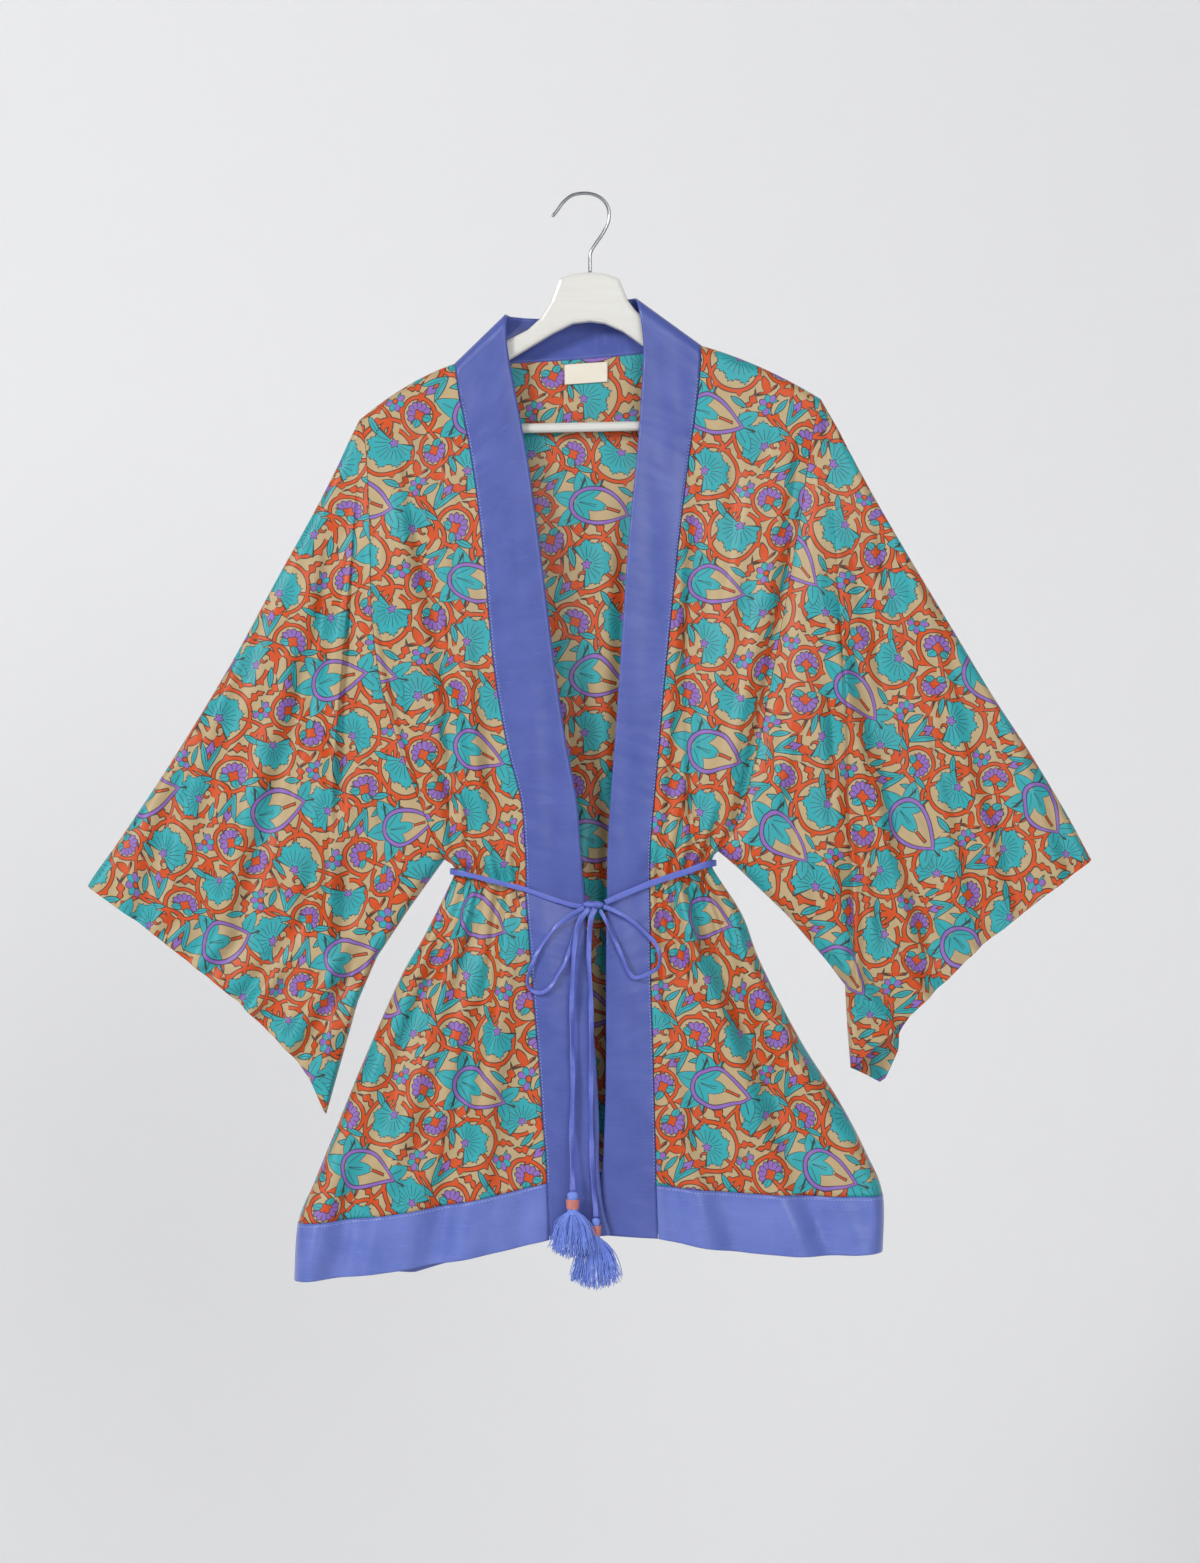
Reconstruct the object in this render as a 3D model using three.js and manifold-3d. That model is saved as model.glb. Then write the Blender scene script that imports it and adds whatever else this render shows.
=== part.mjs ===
// A kimono robe with a tie belt, hung on a white wooden hanger.
// Millimetres, +Z up, +X to the viewer's right, the robe's front faces -Y.
// The origin is the inner top of the hanger's hook, where a rail carries it.
import * as THREE from "three";
import { mergeVertices } from "three/addons/utils/BufferGeometryUtils.js";
import Module from "manifold-3d";

const wasm = await Module();
wasm.setup();

// Cloth and trim
const CLOTH = 1.2;
const BAND_THICK = 2.2;
const HEM_THICK = 2.0;
const SEAM_GAP = 0.36;
const ARM_GAP = 0.55;
const FOLD_GAP = 0.4; // half the way between front and back cloth along a closed edge
const SLEEVE_FOLD_GAP = 1.0;
const TOP_ROUND = 11; // how far below the shoulder line the cloth is fully open
const SIDE_ROUND = 12;
const LAST_ARM_ROW = 9; // the row at the underarm
const LAST_ROW = 17; // the row at the hem seam
const HEM_ROW = 18; // the row at the lower edge

// Belt
const BELT_WIDE = 7;
const BELT_THICK = 1.6;
const TIE_WIDE = 5.5;
const TIE_THICK = 2.0;

// Hanger
const WOOD_THICK = 12;
const WOOD_EDGE = 3.5;
const BAR_RADIUS = 4.8;
const WIRE_RADIUS = 1.75;

const table = (names, rows) =>
  rows.map((row) => Object.fromEntries(names.split(" ").map((name, i) => [name, row[i]])));

// Each front from its shoulder (row 0) past the underarm (row 9), belt (10) and hem seam (17)
// to the lower edge (18): the armhole or side seam, the band's sewn edge and the band's free edge.
// sag is how far the middle of the row droops.
const FRONT_COLUMNS = "sideX sideZ seamX seamZ freeX freeZ sag";
const LEFT_FRONT = table(FRONT_COLUMNS, [
  [-223, -225, -128, -169, -77, -120, -6],
  [-217, -251, -124, -199, -75, -155, -3],
  [-214, -295, -115, -245, -67, -200, 0],
  [-212, -355, -107, -295, -55, -265, 0],
  [-210, -425, -99, -365, -43, -350, 0],
  [-200, -495, -90, -465, -30, -455, 0],
  [-181, -555, -77, -545, -17, -545, 0],
  [-159, -615, -62, -605, -6, -605, 0],
  [-145, -650, -58, -650, -2, -655, 0],
  [-138, -664, -57, -673, 0, -684, 0],
  [-129.5, -671, -57, -688, 2, -705, 0],
  [-129.5, -682, -57, -702, 2.5, -720, 0],
  [-158, -740, -53, -750, 5, -765, 2],
  [-183, -784, -50, -795, 8, -805, 3],
  [-220, -868, -44, -865, 13, -865, 4],
  [-244, -927, -40, -925, 16, -924, 5],
  [-268, -986, -37, -957, 16, -965, 6],
  [-284, -1026, -36, -985, 20, -1006, 6],
  [-288, -1083, -33, -1041, 28, -1036, 6],
]);
const RIGHT_FRONT = table(FRONT_COLUMNS, [
  [237, -204, 118, -151, 54, -105, -5],
  [231, -230, 117, -177, 60, -148, -3],
  [225, -270, 113, -215, 58, -200, 0],
  [215, -335, 104, -280, 54, -260, 0],
  [203, -405, 94, -365, 45, -350, 0],
  [187, -491, 82, -485, 36, -485, 0],
  [174, -555, 75, -565, 31, -555, 0],
  [158, -615, 70, -620, 27, -610, 0],
  [143, -648, 67.5, -652, 24.5, -655, 0],
  [135, -656, 67, -668, 24, -682, 0],
  [130, -662, 67, -683, 24, -700, 0],
  [130, -674, 67, -698, 23.5, -715, 0],
  [159, -720, 67.5, -742, 23, -760, 2],
  [177, -767, 68, -790, 23, -805, 3],
  [217, -845, 70, -855, 23, -860, 4],
  [257, -908, 71.5, -915, 22, -915, 4],
  [283, -958, 72.5, -955, 20, -960, 4],
  [299, -998, 73, -987, 18, -990, 4],
  [299, -1054, 75, -1040, 24, -1037, 9],
]);

// Each sleeve's top fold at the same rows as the armhole.
const LEFT_TOP_FOLD = table("x z", [
  [-233, -245], [-246, -273], [-270, -320], [-305, -383], [-345, -457],
  [-385, -525], [-421, -582], [-463, -645], [-486, -677], [-495, -691],
]);
const RIGHT_TOP_FOLD = table("x z", [
  [255, -235], [269, -262], [293, -306], [328, -366], [369, -434],
  [410, -502], [446, -557], [482, -617], [501, -652], [508, -665],
]);

// Each sleeve's far edge by u, from the cuff's upper corner past its tip to the underarm.
// The front and back cloth part where a corner of the cuff is turned.
const FAR_COLUMNS = "u x z backX backZ";
const LEFT_FAR = table(FAR_COLUMNS, [
  [0.0, -495, -691, -495, -691],
  [0.14, -433, -735, -433, -735],
  [0.34, -343, -807, -343, -807],
  [0.48, -290, -859, -289, -861],
  [0.56, -271, -883, -270, -886],
  [0.62, -256, -918, -256, -918],
  [0.64, -225, -806, -225, -806],
  [0.76, -206, -762, -206, -762],
  [0.88, -172, -711, -172, -711],
  [1.0, -138, -664, -138, -664],
]);
const RIGHT_FAR = table(FAR_COLUMNS, [
  [0.0, 508, -665, 508, -665],
  [0.12, 454, -706, 454, -706],
  [0.26, 397, -751, 397, -751],
  [0.4, 347, -800, 347, -800],
  [0.47, 328, -818, 328, -820],
  [0.52, 314, -830, 316, -840],
  [0.56, 297, -846, 315, -857],
  [0.6, 281, -860, 300, -889],
  [0.63, 267, -872, 267, -872],
  [0.64, 264, -830, 264, -830],
  [0.65, 262, -790, 262, -790],
  [0.74, 243, -765, 243, -765],
  [0.86, 205, -721, 205, -721],
  [0.96, 155, -673, 155, -673],
  [1.0, 135, -656, 135, -656],
]);

// The band behind the neck, from the left turn to the right turn: sewn edge and free edge.
const NECK_BACK = table("seamX seamY freeX freeY freeZ", [
  [-119, 9, -72, 9, -121],
  [-100, 12.5, -60, 17, -121],
  [-73, 13, -44, 22, -121],
  [-30, 13, -14, 26, -115],
  [12, 13, 16, 26, -108],
  [61, 13, 42, 20, -102],
  [92, 12.5, 50, 14, -102],
  [110, 9, 53, 8, -103],
]);
const NECK_SAG = 3;

// Half of the robe's depth by height, and the half depth of a sleeve.
const BODY_DEPTH = table("z half", [
  [-100, 12], [-250, 12], [-400, 15], [-550, 18], [-650, 18],
  [-740, 19], [-900, 25], [-1090, 30],
]);
const SLEEVE_DEPTH = 9;

// The belt's height across the front and back; it draws the cloth in.
const BELT_LINE = table("x front back", [
  [-130, -676.5, -676.5], [-57, -694, -674], [4, -711, -672], [24, -706, -671],
  [67, -688, -669], [130, -668, -668],
]);
const BELT_PINCH = 5;
const BELT_PINCH_REACH = 24;
const GATHERS = 4.5; // waves across each front where the belt gathers it
const GATHER_DEEP = 3;

// The large folds: a line from its top to its foot, its half width and how far it sinks.
// A negative depth is a ridge; bow moves the middle of the line sideways.
const FOLD_COLUMNS = "topX topZ footX footZ bow wide deep";
const FRONT_FOLDS = table(FOLD_COLUMNS, [
  [-158, -225, -133, -610, 12, 15, 5],
  [-185, -410, -185, -535, 0, 12, 3],
  [-124, -235, -82, -665, 4, 13, 4],
  [-98, -560, -96, -670, 0, 9, 3],
  [-178, -300, -170, -600, -6, 14, -4],
  [-84, -690, -158, -960, -8, 14, 8],
  [-122, -690, -246, -1030, -6, 14, 8],
  [-104, -700, -200, -1000, 4, 13, -6],
  [-60, -840, -84, -990, 0, 14, 4],
  [-62, -700, -110, -930, 4, 13, -5],
  [224, -250, 143, -652, 12, 14, 9],
  [109, -250, 109, -640, 5, 13, 6],
  [150, -254, 162, -450, 0, 14, 3],
  [170, -300, 128, -640, 8, 14, -5],
  [112, -690, 240, -970, -12, 13, 9],
  [122, -680, 262, -930, 4, 12, 7],
  [76, -700, 113, -985, -3, 14, 5],
  [94, -700, 160, -985, 0, 13, -6],
  [160, -937, 225, -1020, 0, 16, 4],
  [-270, -464, -273, -760, 0, 18, 3],
  [-330, -480, -360, -720, 0, 22, -3],
  [298, -342, 348, -640, -12, 18, 4],
  [330, -400, 400, -690, 0, 20, -3],
]);
const BACK_FOLDS = table(FOLD_COLUMNS, [
  [-150, -240, -110, -650, 8, 16, -5],
  [-60, -260, -50, -650, 0, 18, -4],
  [0, -320, 0, -655, 4, 18, 3],
  [60, -260, 50, -650, 0, 18, -5],
  [150, -240, 105, -650, -8, 16, -6],
  [-110, -690, -220, -1030, -6, 15, -9],
  [-70, -690, -120, -1040, -4, 15, -8],
  [-25, -690, -40, -1050, 0, 15, -7],
  [25, -690, 50, -1050, 2, 15, -8],
  [70, -690, 130, -1040, 4, 15, -9],
  [110, -680, 230, -1000, 8, 15, -8],
  [-300, -440, -330, -760, 0, 20, -3],
  [310, -420, 350, -740, 0, 20, -3],
]);
const FOLD_FADE = 60;

// The knife fold of each sleeve: the outer part lies over the inner part along this u.
const KNIFE = { left: { edge: 0.62, inner: 0.64 }, right: { edge: 0.63, inner: 0.65 } };
const KNIFE_LIFT = 10;
const KNIFE_SPREAD = 0.15;
const KNIFE_PARTING = 0.09; // how far apart its two lines start at the shoulder
const LEFT_KNIFE_FALL = 20; // how far the left knife fold swings towards the body

// Samples: rows down to the underarm, rows down to the hem seam, and columns.
const ARM_ROWS = [0, 0.1, 0.4, 1, 2, 3, 4, 5, 6, 7, 8, 8.7, 9];
const SLEEVE_ROWS = ARM_ROWS.filter((v) => v !== 8.7);
const BODY_ROWS = [...ARM_ROWS, 10, 11, 12, 13, 14, 15, 16, 17];
const FRONT_SAMPLES = [0, 0.015, 0.06, 0.14, 0.22, 0.3, 0.38, 0.46, 0.54, 0.62, 0.7, 0.78, 0.86, 0.93, 1];
const HALF_BACK = [0, 0.006, 0.03, 0.075, 0.12, 0.165, 0.21, 0.26, 0.31, 0.36, 0.41, 0.46];
const BACK_SAMPLES = [...HALF_BACK, ...HALF_BACK.map((u) => 1 - u).reverse()];
const BAND_SAMPLES = [0, 0.25, 0.5, 0.75, 1];
const LEFT_SLEEVE_SAMPLES = [
  0, 0.02, 0.07, 0.14, 0.24, 0.34, 0.41, 0.48, 0.56, 0.62, 0.64, 0.7, 0.76, 0.82, 0.88, 0.94, 1,
];
const RIGHT_SLEEVE_SAMPLES = [
  0, 0.02, 0.06, 0.12, 0.2, 0.3, 0.4, 0.47, 0.52, 0.56, 0.6, 0.63, 0.64, 0.65, 0.74, 0.8, 0.86, 0.92, 0.97, 1,
];

const mix = (a, b, t) => a + (b - a) * t;
const clamp01 = (t) => Math.min(1, Math.max(0, t));
const smooth = (t) => clamp01(t) ** 2 * (3 - 2 * clamp01(t));
const dist = (p, q) => Math.hypot(p[0] - q[0], p[1] - q[1]);

// Straight interpolation in a table by one of its columns.
function lookup(rows, key, at, value) {
  const after = rows.findIndex((row) => row[key] * Math.sign(rows.at(-1)[key] - rows[0][key])
    >= at * Math.sign(rows.at(-1)[key] - rows[0][key]));
  if (after === 0) return rows[0][value];
  if (after < 0) return rows.at(-1)[value];
  const [a, b] = [rows[after - 1], rows[after]];
  return mix(a[value], b[value], (at - a[key]) / (b[key] - a[key]));
}

// Smooth interpolation of one column at a row number.
function atRow(rows, column, v) {
  const i = Math.min(rows.length - 2, Math.floor(v));
  const t = v - i;
  const at = (k) => rows[Math.min(rows.length - 1, Math.max(0, k))][column];
  const [p0, p1, p2, p3] = [at(i - 1), at(i), at(i + 1), at(i + 2)];
  const slope1 = (p2 - p0) / 2;
  const slope2 = (p3 - p1) / 2;
  const a = 2 * (p1 - p2) + slope1 + slope2;
  const b = 3 * (p2 - p1) - 2 * slope1 - slope2;
  return ((a * t + b) * t + slope1) * t + p1;
}

const column = (rows, name, v) => [atRow(rows, `${name}X`, v), atRow(rows, `${name}Z`, v)];

function frontPoint(rows, u, v) {
  const side = column(rows, "side", v);
  const seam = column(rows, "seam", v);
  const droop = atRow(rows, "sag", v) * 4 * u * (1 - u);
  return [mix(side[0], seam[0], u), mix(side[1], seam[1], u) - droop];
}

// How open the cloth is at a way d from a closed edge: 0 on the edge, 1 past the round.
const openness = (d, round) => Math.sqrt(1 - (1 - clamp01(d / round)) ** 2);

function foldsAt(folds, x, z) {
  let sum = 0;
  for (const fold of folds) {
    const t = (fold.topZ - z) / (fold.topZ - fold.footZ);
    const run = fold.topZ - fold.footZ;
    const fadeIn = smooth((t * run + FOLD_FADE / 2) / FOLD_FADE);
    const fadeOut = smooth(((1 - t) * run + FOLD_FADE / 2) / FOLD_FADE);
    const lineX = mix(fold.topX, fold.footX, t) + fold.bow * 4 * clamp01(t) * (1 - clamp01(t));
    const off = (x - lineX) / fold.wide;
    if (Math.abs(off) < 3) sum += fold.deep * fadeIn * fadeOut * Math.exp(-off * off);
  }
  return sum;
}

function bodyHalf(x, z, layer) {
  const line = lookup(BELT_LINE, "x", x, layer);
  const pinch = BELT_PINCH * Math.exp(-(((z - line) / BELT_PINCH_REACH) ** 2));
  return lookup(BODY_DEPTH, "z", z, "half") - pinch;
}

function gathersAt(u, x, z, layer, waves) {
  const line = lookup(BELT_LINE, "x", x, layer);
  const reach = z < line ? 110 : 45;
  const strength = Math.exp(-(((z - line) / reach) ** 2));
  return GATHER_DEEP * strength * Math.cos(2 * Math.PI * waves * u) * smooth(u / 0.12) * smooth((1 - u) / 0.12);
}

// The way from a point of a body panel to the closed side below the underarm.
function sideWay(rows, point, v) {
  const side = column(rows, "side", v);
  const past = v < LAST_ARM_ROW ? dist(side, column(rows, "side", LAST_ARM_ROW)) : 0;
  return Math.hypot(dist(point, side), past);
}

function frontSurface(rows) {
  return (u, v) => {
    const point = frontPoint(rows, u, v);
    const [x, z] = point;
    const top = openness(dist(point, frontPoint(rows, u, 0)), TOP_ROUND);
    const open = top * openness(sideWay(rows, point, v), SIDE_ROUND);
    const depth = bodyHalf(x, z, "front") - foldsAt(FRONT_FOLDS, x, z) - gathersAt(u, x, z, "front", GATHERS);
    return [x, -FOLD_GAP - open * depth, z];
  };
}

const neckZ = (x) => {
  const t = (x - LEFT_FRONT[0].seamX) / (RIGHT_FRONT[0].seamX - LEFT_FRONT[0].seamX);
  return mix(LEFT_FRONT[0].seamZ, RIGHT_FRONT[0].seamZ, t) - NECK_SAG * 4 * t * (1 - t);
};

// The back's upper edge: two shoulders and the neck between them.
function backTop(u) {
  const x = mix(LEFT_FRONT[0].sideX, RIGHT_FRONT[0].sideX, u);
  for (const rows of [LEFT_FRONT, RIGHT_FRONT]) {
    const across = (x - rows[0].sideX) / (rows[0].seamX - rows[0].sideX);
    if (across >= 0 && across <= 1) return frontPoint(rows, across, 0);
  }
  const corner = Math.min(x - LEFT_FRONT[0].seamX, RIGHT_FRONT[0].seamX - x);
  return [x, neckZ(x) - SEAM_GAP - 1.2 * Math.exp(-((corner / 12) ** 2))];
}

// The back's lower edges dip a little lower than the fronts between the sides.
const BACK_DIP = table("u dip", [[0, 0], [0.1, 0], [0.2, 4], [0.32, -14], [0.5, -34], [0.75, -10], [0.9, 2], [1, 0]]);

function backPoint(u, v) {
  const left = column(LEFT_FRONT, "side", v);
  const right = column(RIGHT_FRONT, "side", v);
  const top = backTop(u);
  const straight = mix(LEFT_FRONT[0].sideZ, RIGHT_FRONT[0].sideZ, u);
  const rise = (top[1] - straight) * (1 - clamp01(v / 8)) ** 1.5;
  const dip = lookup(BACK_DIP, "u", u, "dip") * smooth((v - 12) / 5);
  return [mix(left[0], right[0], u), mix(left[1], right[1], u) + rise - dip];
}

function backSurface(u, v) {
  const point = backPoint(u, v);
  const [x, z] = point;
  const top = backTop(u);
  const corner = Math.max(0, Math.min(top[0] - LEFT_FRONT[0].seamX, RIGHT_FRONT[0].seamX - top[0]));
  const topOpen = openness(Math.hypot(dist(point, top), corner), TOP_ROUND);
  const sides = [sideWay(LEFT_FRONT, point, v), sideWay(RIGHT_FRONT, point, v)];
  const open = topOpen * openness(sides[0], SIDE_ROUND) * openness(sides[1], SIDE_ROUND);
  const depth = bodyHalf(x, z, "back") + foldsAt(BACK_FOLDS, x, z) + gathersAt(u, x, z, "back", 2 * GATHERS);
  return [x, FOLD_GAP + open * depth, z];
}

// A sleeve between its top fold (u = 0) and the armhole (u = 1), fanned out from the shoulder.
function sleeveSurface(rows, topFold, far, name, layer) {
  const knife = KNIFE[name];
  const toward = Math.sign(rows[0].sideX);
  const armLength = LAST_ARM_ROW;
  const share = (v) => dist(column(rows, "side", v), column(rows, "side", 0))
    / dist(column(rows, "side", armLength), column(rows, "side", 0));
  const farPoint = (u) => [
    lookup(far, "u", u, layer === "front" ? "x" : "backX"),
    lookup(far, "u", u, layer === "front" ? "z" : "backZ"),
  ];
  const gap = (v) => ARM_GAP + 1.5 * (v / armLength) ** 6;
  const flat = (u, v) => {
    const g = share(v);
    const outer = [atRow(topFold, "x", v), atRow(topFold, "z", v)];
    const arm = column(rows, "side", v);
    arm[0] += toward * gap(v);
    const ends = [column(rows, "side", 0), column(rows, "side", armLength)];
    ends[0][0] += toward * gap(0);
    ends[1][0] += toward * gap(armLength);
    const starts = [topFold[0].x, topFold[0].z];
    const fromKnife = clamp01((u - knife.edge) / (knife.inner - knife.edge));
    const aside = u < knife.edge ? -u / knife.edge : u > knife.inner ? (1 - u) / (1 - knife.inner) : 2 * fromKnife - 1;
    const startU = u + KNIFE_PARTING * aside;
    const farOuter = farPoint(0);
    const farHere = farPoint(u);
    farHere[0] += toward * gap(armLength) * u;
    const fall = name === "left" ? LEFT_KNIFE_FALL * g * (1 - g ** 2) * smooth(u / knife.edge) * (1 - fromKnife) : 0;
    return [0, 1].map((k) => {
      const across = mix(outer[k], arm[k], u);
      const down = mix(mix(starts[k], ends[0][k], startU), farHere[k], g);
      const corners = mix(mix(starts[k], ends[0][k], u), mix(farOuter[k], ends[1][k], u), g);
      return across + down - corners + (k === 0 ? fall : 0);
    });
  };
  const last = armLength;
  return (u, v) => {
    const point = flat(u, v);
    const [x, z] = point;
    const g = share(v);
    const start = openness(dist(point, flat(u, 0)), TOP_ROUND);
    const outer = openness(dist(point, flat(0, v)), SIDE_ROUND);
    const beyond = u < knife.edge ? dist(farPoint(u), farPoint(knife.edge)) : 0;
    const under = openness(Math.hypot(dist(point, flat(u, last)), beyond), SIDE_ROUND);
    const half = mix(SLEEVE_DEPTH, bodyHalf(...column(rows, "side", v), layer), smooth((u - 0.55) / 0.45));
    const over = u <= knife.edge ? Math.exp(-(((knife.edge - u) / KNIFE_SPREAD) ** 2))
      : 1 - smooth((u - knife.edge) / (knife.inner - knife.edge));
    const lift = (layer === "front" ? KNIFE_LIFT : 0.4 * KNIFE_LIFT) * smooth(g / 0.5) * over;
    const sign = layer === "front" ? -1 : 1;
    const folds = foldsAt(layer === "front" ? FRONT_FOLDS : BACK_FOLDS, x, z) * sign;
    const shift = layer === "front" ? -lift : -0.8 * KNIFE_LIFT * smooth(g / 0.5) * over + lift;
    return [x, sign * SLEEVE_FOLD_GAP + start * outer * under * (sign * half + sign * folds + shift)
      + closedShift(start, outer, under, g, over), z];
  };
}

// Near its closed edges the whole double layer of the outer part comes forward together.
function closedShift(start, outer, under, g, over) {
  return -KNIFE_LIFT * 0.8 * smooth(g / 0.5) * over * start * outer * (1 - under);
}

const normalize = (a) => {
  const length = Math.hypot(...a) || 1;
  return a.map((c) => c / length);
};
const cross = (a, b) => [a[1] * b[2] - a[2] * b[1], a[2] * b[0] - a[0] * b[2], a[0] * b[1] - a[1] * b[0]];
const minus = (a, b) => a.map((c, k) => c - b[k]);
const plus = (a, b, s = 1) => a.map((c, k) => c + s * b[k]);

const gridOf = (surface, us, vs) => vs.map((v) => us.map((u) => surface(u, v)));

// The direction each point of a grid faces: the mean of the faces that meet there.
function gridNormals(grid) {
  const face = (r, c) => {
    if (r < 0 || c < 0 || r + 1 >= grid.length || c + 1 >= grid[0].length) return [0, 0, 0];
    return normalize(cross(minus(grid[r + 1][c + 1], grid[r][c]), minus(grid[r + 1][c], grid[r][c + 1])));
  };
  return grid.map((row, r) => row.map((_, c) => {
    const around = [face(r - 1, c - 1), face(r - 1, c), face(r, c - 1), face(r, c)];
    return normalize(around.reduce((sum, n) => plus(sum, n)));
  }));
}

const offsetGrid = (grid, normals, way) => grid.map((row, r) => row.map((p, c) => plus(p, normals[r][c], way)));

class Shell {
  constructor() {
    this.points = [];
    this.faces = [];
  }
  grid(points) {
    return points.map((row) => row.map((p) => this.points.push(p) - 1));
  }
  tri(a, b, c) {
    this.faces.push(a, b, c);
  }
  quad(a, b, c, d) {
    this.tri(a, b, c);
    this.tri(a, c, d);
  }
  skin(ids, flipped) {
    for (let r = 0; r + 1 < ids.length; r++) {
      for (let c = 0; c + 1 < ids[0].length; c++) {
        const [start, ...rest] = [ids[r][c], ids[r][c + 1], ids[r + 1][c + 1], ids[r + 1][c]];
        this.quad(start, ...(flipped ? rest.reverse() : rest));
      }
    }
  }
  geometry() {
    let volume = 0;
    for (let k = 0; k < this.faces.length; k += 3) {
      const [a, b, c] = this.faces.slice(k, k + 3).map((i) => this.points[i]);
      const n = cross(b, c);
      volume += a[0] * n[0] + a[1] * n[1] + a[2] * n[2];
    }
    const faces = volume < 0 ? this.faces.toReversed() : this.faces;
    const geometry = new THREE.BufferGeometry();
    geometry.setAttribute("position", new THREE.Float32BufferAttribute(this.points.flat(), 3));
    geometry.setIndex(faces);
    geometry.computeVertexNormals();
    return geometry;
  }
}

// The places round a grid's edge, in order, as [row, column].
function edgeLoop(rows, columns) {
  const loop = [];
  for (let c = 0; c < columns - 1; c++) loop.push([0, c]);
  for (let r = 0; r < rows - 1; r++) loop.push([r, columns - 1]);
  for (let c = columns - 1; c > 0; c--) loop.push([rows - 1, c]);
  for (let r = rows - 1; r > 0; r--) loop.push([r, 0]);
  return loop;
}

// One layer of cloth as a closed wall.
function wall(grid, thick) {
  const normals = gridNormals(grid);
  const shell = new Shell();
  const outer = shell.grid(offsetGrid(grid, normals, thick / 2));
  const inner = shell.grid(offsetGrid(grid, normals, -thick / 2));
  shell.skin(outer, false);
  shell.skin(inner, true);
  const loop = edgeLoop(grid.length, grid[0].length);
  loop.forEach(([r, c], k) => {
    const [r2, c2] = loop[(k + 1) % loop.length];
    shell.quad(outer[r2][c2], outer[r][c], inner[r][c], inner[r2][c2]);
  });
  return shell.geometry();
}

// Two layers joined along their closed edges and apart at their open ones, such as a sleeve.
function tube(front, back, thick, isClosed) {
  const shell = new Shell();
  const frontNormals = gridNormals(front);
  const backNormals = gridNormals(back);
  const facing = frontNormals[4][4][1] < 0 ? 1 : -1;
  const half = (facing * thick) / 2;
  const fo = shell.grid(offsetGrid(front, frontNormals, half));
  const fi = shell.grid(offsetGrid(front, frontNormals, -half));
  const bi = shell.grid(offsetGrid(back, backNormals, half));
  const bo = shell.grid(offsetGrid(back, backNormals, -half));
  shell.skin(fo, false);
  shell.skin(fi, true);
  shell.skin(bi, false);
  shell.skin(bo, true);
  const loop = edgeLoop(front.length, front[0].length);
  const closed = loop.map((at, k) => isClosed(at, loop[(k + 1) % loop.length]));
  loop.forEach(([r, c], k) => {
    const [r2, c2] = loop[(k + 1) % loop.length];
    if (closed[k]) {
      shell.quad(fo[r2][c2], fo[r][c], bo[r][c], bo[r2][c2]);
      shell.quad(bi[r2][c2], bi[r][c], fi[r][c], fi[r2][c2]);
    } else {
      shell.quad(fo[r2][c2], fo[r][c], fi[r][c], fi[r2][c2]);
      shell.quad(bi[r2][c2], bi[r][c], bo[r][c], bo[r2][c2]);
    }
    const before = closed[(k + loop.length - 1) % loop.length];
    if (before && !closed[k]) shell.quad(fo[r][c], bo[r][c], bi[r][c], fi[r][c]);
    if (!before && closed[k]) shell.quad(fo[r][c], fi[r][c], bi[r][c], bo[r][c]);
  });
  return shell.geometry();
}

// A band of oval or square section along a line; face is the way its flat side looks at each point.
function ribbon(points, faces, wide, thick, sides) {
  const shell = new Shell();
  const ids = points.map((p, i) => {
    const ahead = points[Math.min(i + 1, points.length - 1)];
    const behind = points[Math.max(i - 1, 0)];
    const along = normalize(minus(ahead, behind));
    const up = normalize(cross(along, faces[i]));
    const out = normalize(cross(up, along));
    const ring = [];
    for (let k = 0; k < sides; k++) {
      const angle = (2 * Math.PI * (k + 0.5)) / sides;
      const reach = sides === 4 ? Math.SQRT1_2 : 0.5;
      const across = plus([0, 0, 0], up, Math.cos(angle) * wide * reach);
      ring.push(plus(plus(p, across), out, Math.sin(angle) * thick * reach));
    }
    return ring;
  });
  const rings = shell.grid(ids);
  for (let i = 0; i + 1 < rings.length; i++) {
    for (let k = 0; k < sides; k++) {
      const m = (k + 1) % sides;
      shell.quad(rings[i][k], rings[i][m], rings[i + 1][m], rings[i + 1][k]);
    }
  }
  for (let k = 1; k + 1 < sides; k++) {
    shell.tri(rings[0][0], rings[0][k + 1], rings[0][k]);
    shell.tri(rings.at(-1)[0], rings.at(-1)[k], rings.at(-1)[k + 1]);
  }
  return shell.geometry();
}

function smoothLine(points, steps) {
  const curve = new THREE.CatmullRomCurve3(points.map((p) => new THREE.Vector3(...p)), false, "centripetal");
  return curve.getSpacedPoints(steps).map((p) => p.toArray());
}

const group = new THREE.Group();
const finish = (color, roughness, metalness = 0) => new THREE.MeshStandardMaterial({ color, roughness, metalness });
const print = () => finish(0xc98c62, 0.6);
const periwinkle = () => finish(0x5766bf, 0.5);

function add(name, geometry, material) {
  const mesh = new THREE.Mesh(geometry, material);
  mesh.name = name;
  group.add(mesh);
}

// Panels
const bodies = { left: LEFT_FRONT, right: RIGHT_FRONT };
for (const [name, rows] of Object.entries(bodies)) {
  add(`front_${name}`, wall(gridOf(frontSurface(rows), FRONT_SAMPLES, BODY_ROWS), CLOTH), print());
}
add("back_panel", wall(gridOf(backSurface, BACK_SAMPLES, BODY_ROWS), CLOTH), print());

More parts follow.
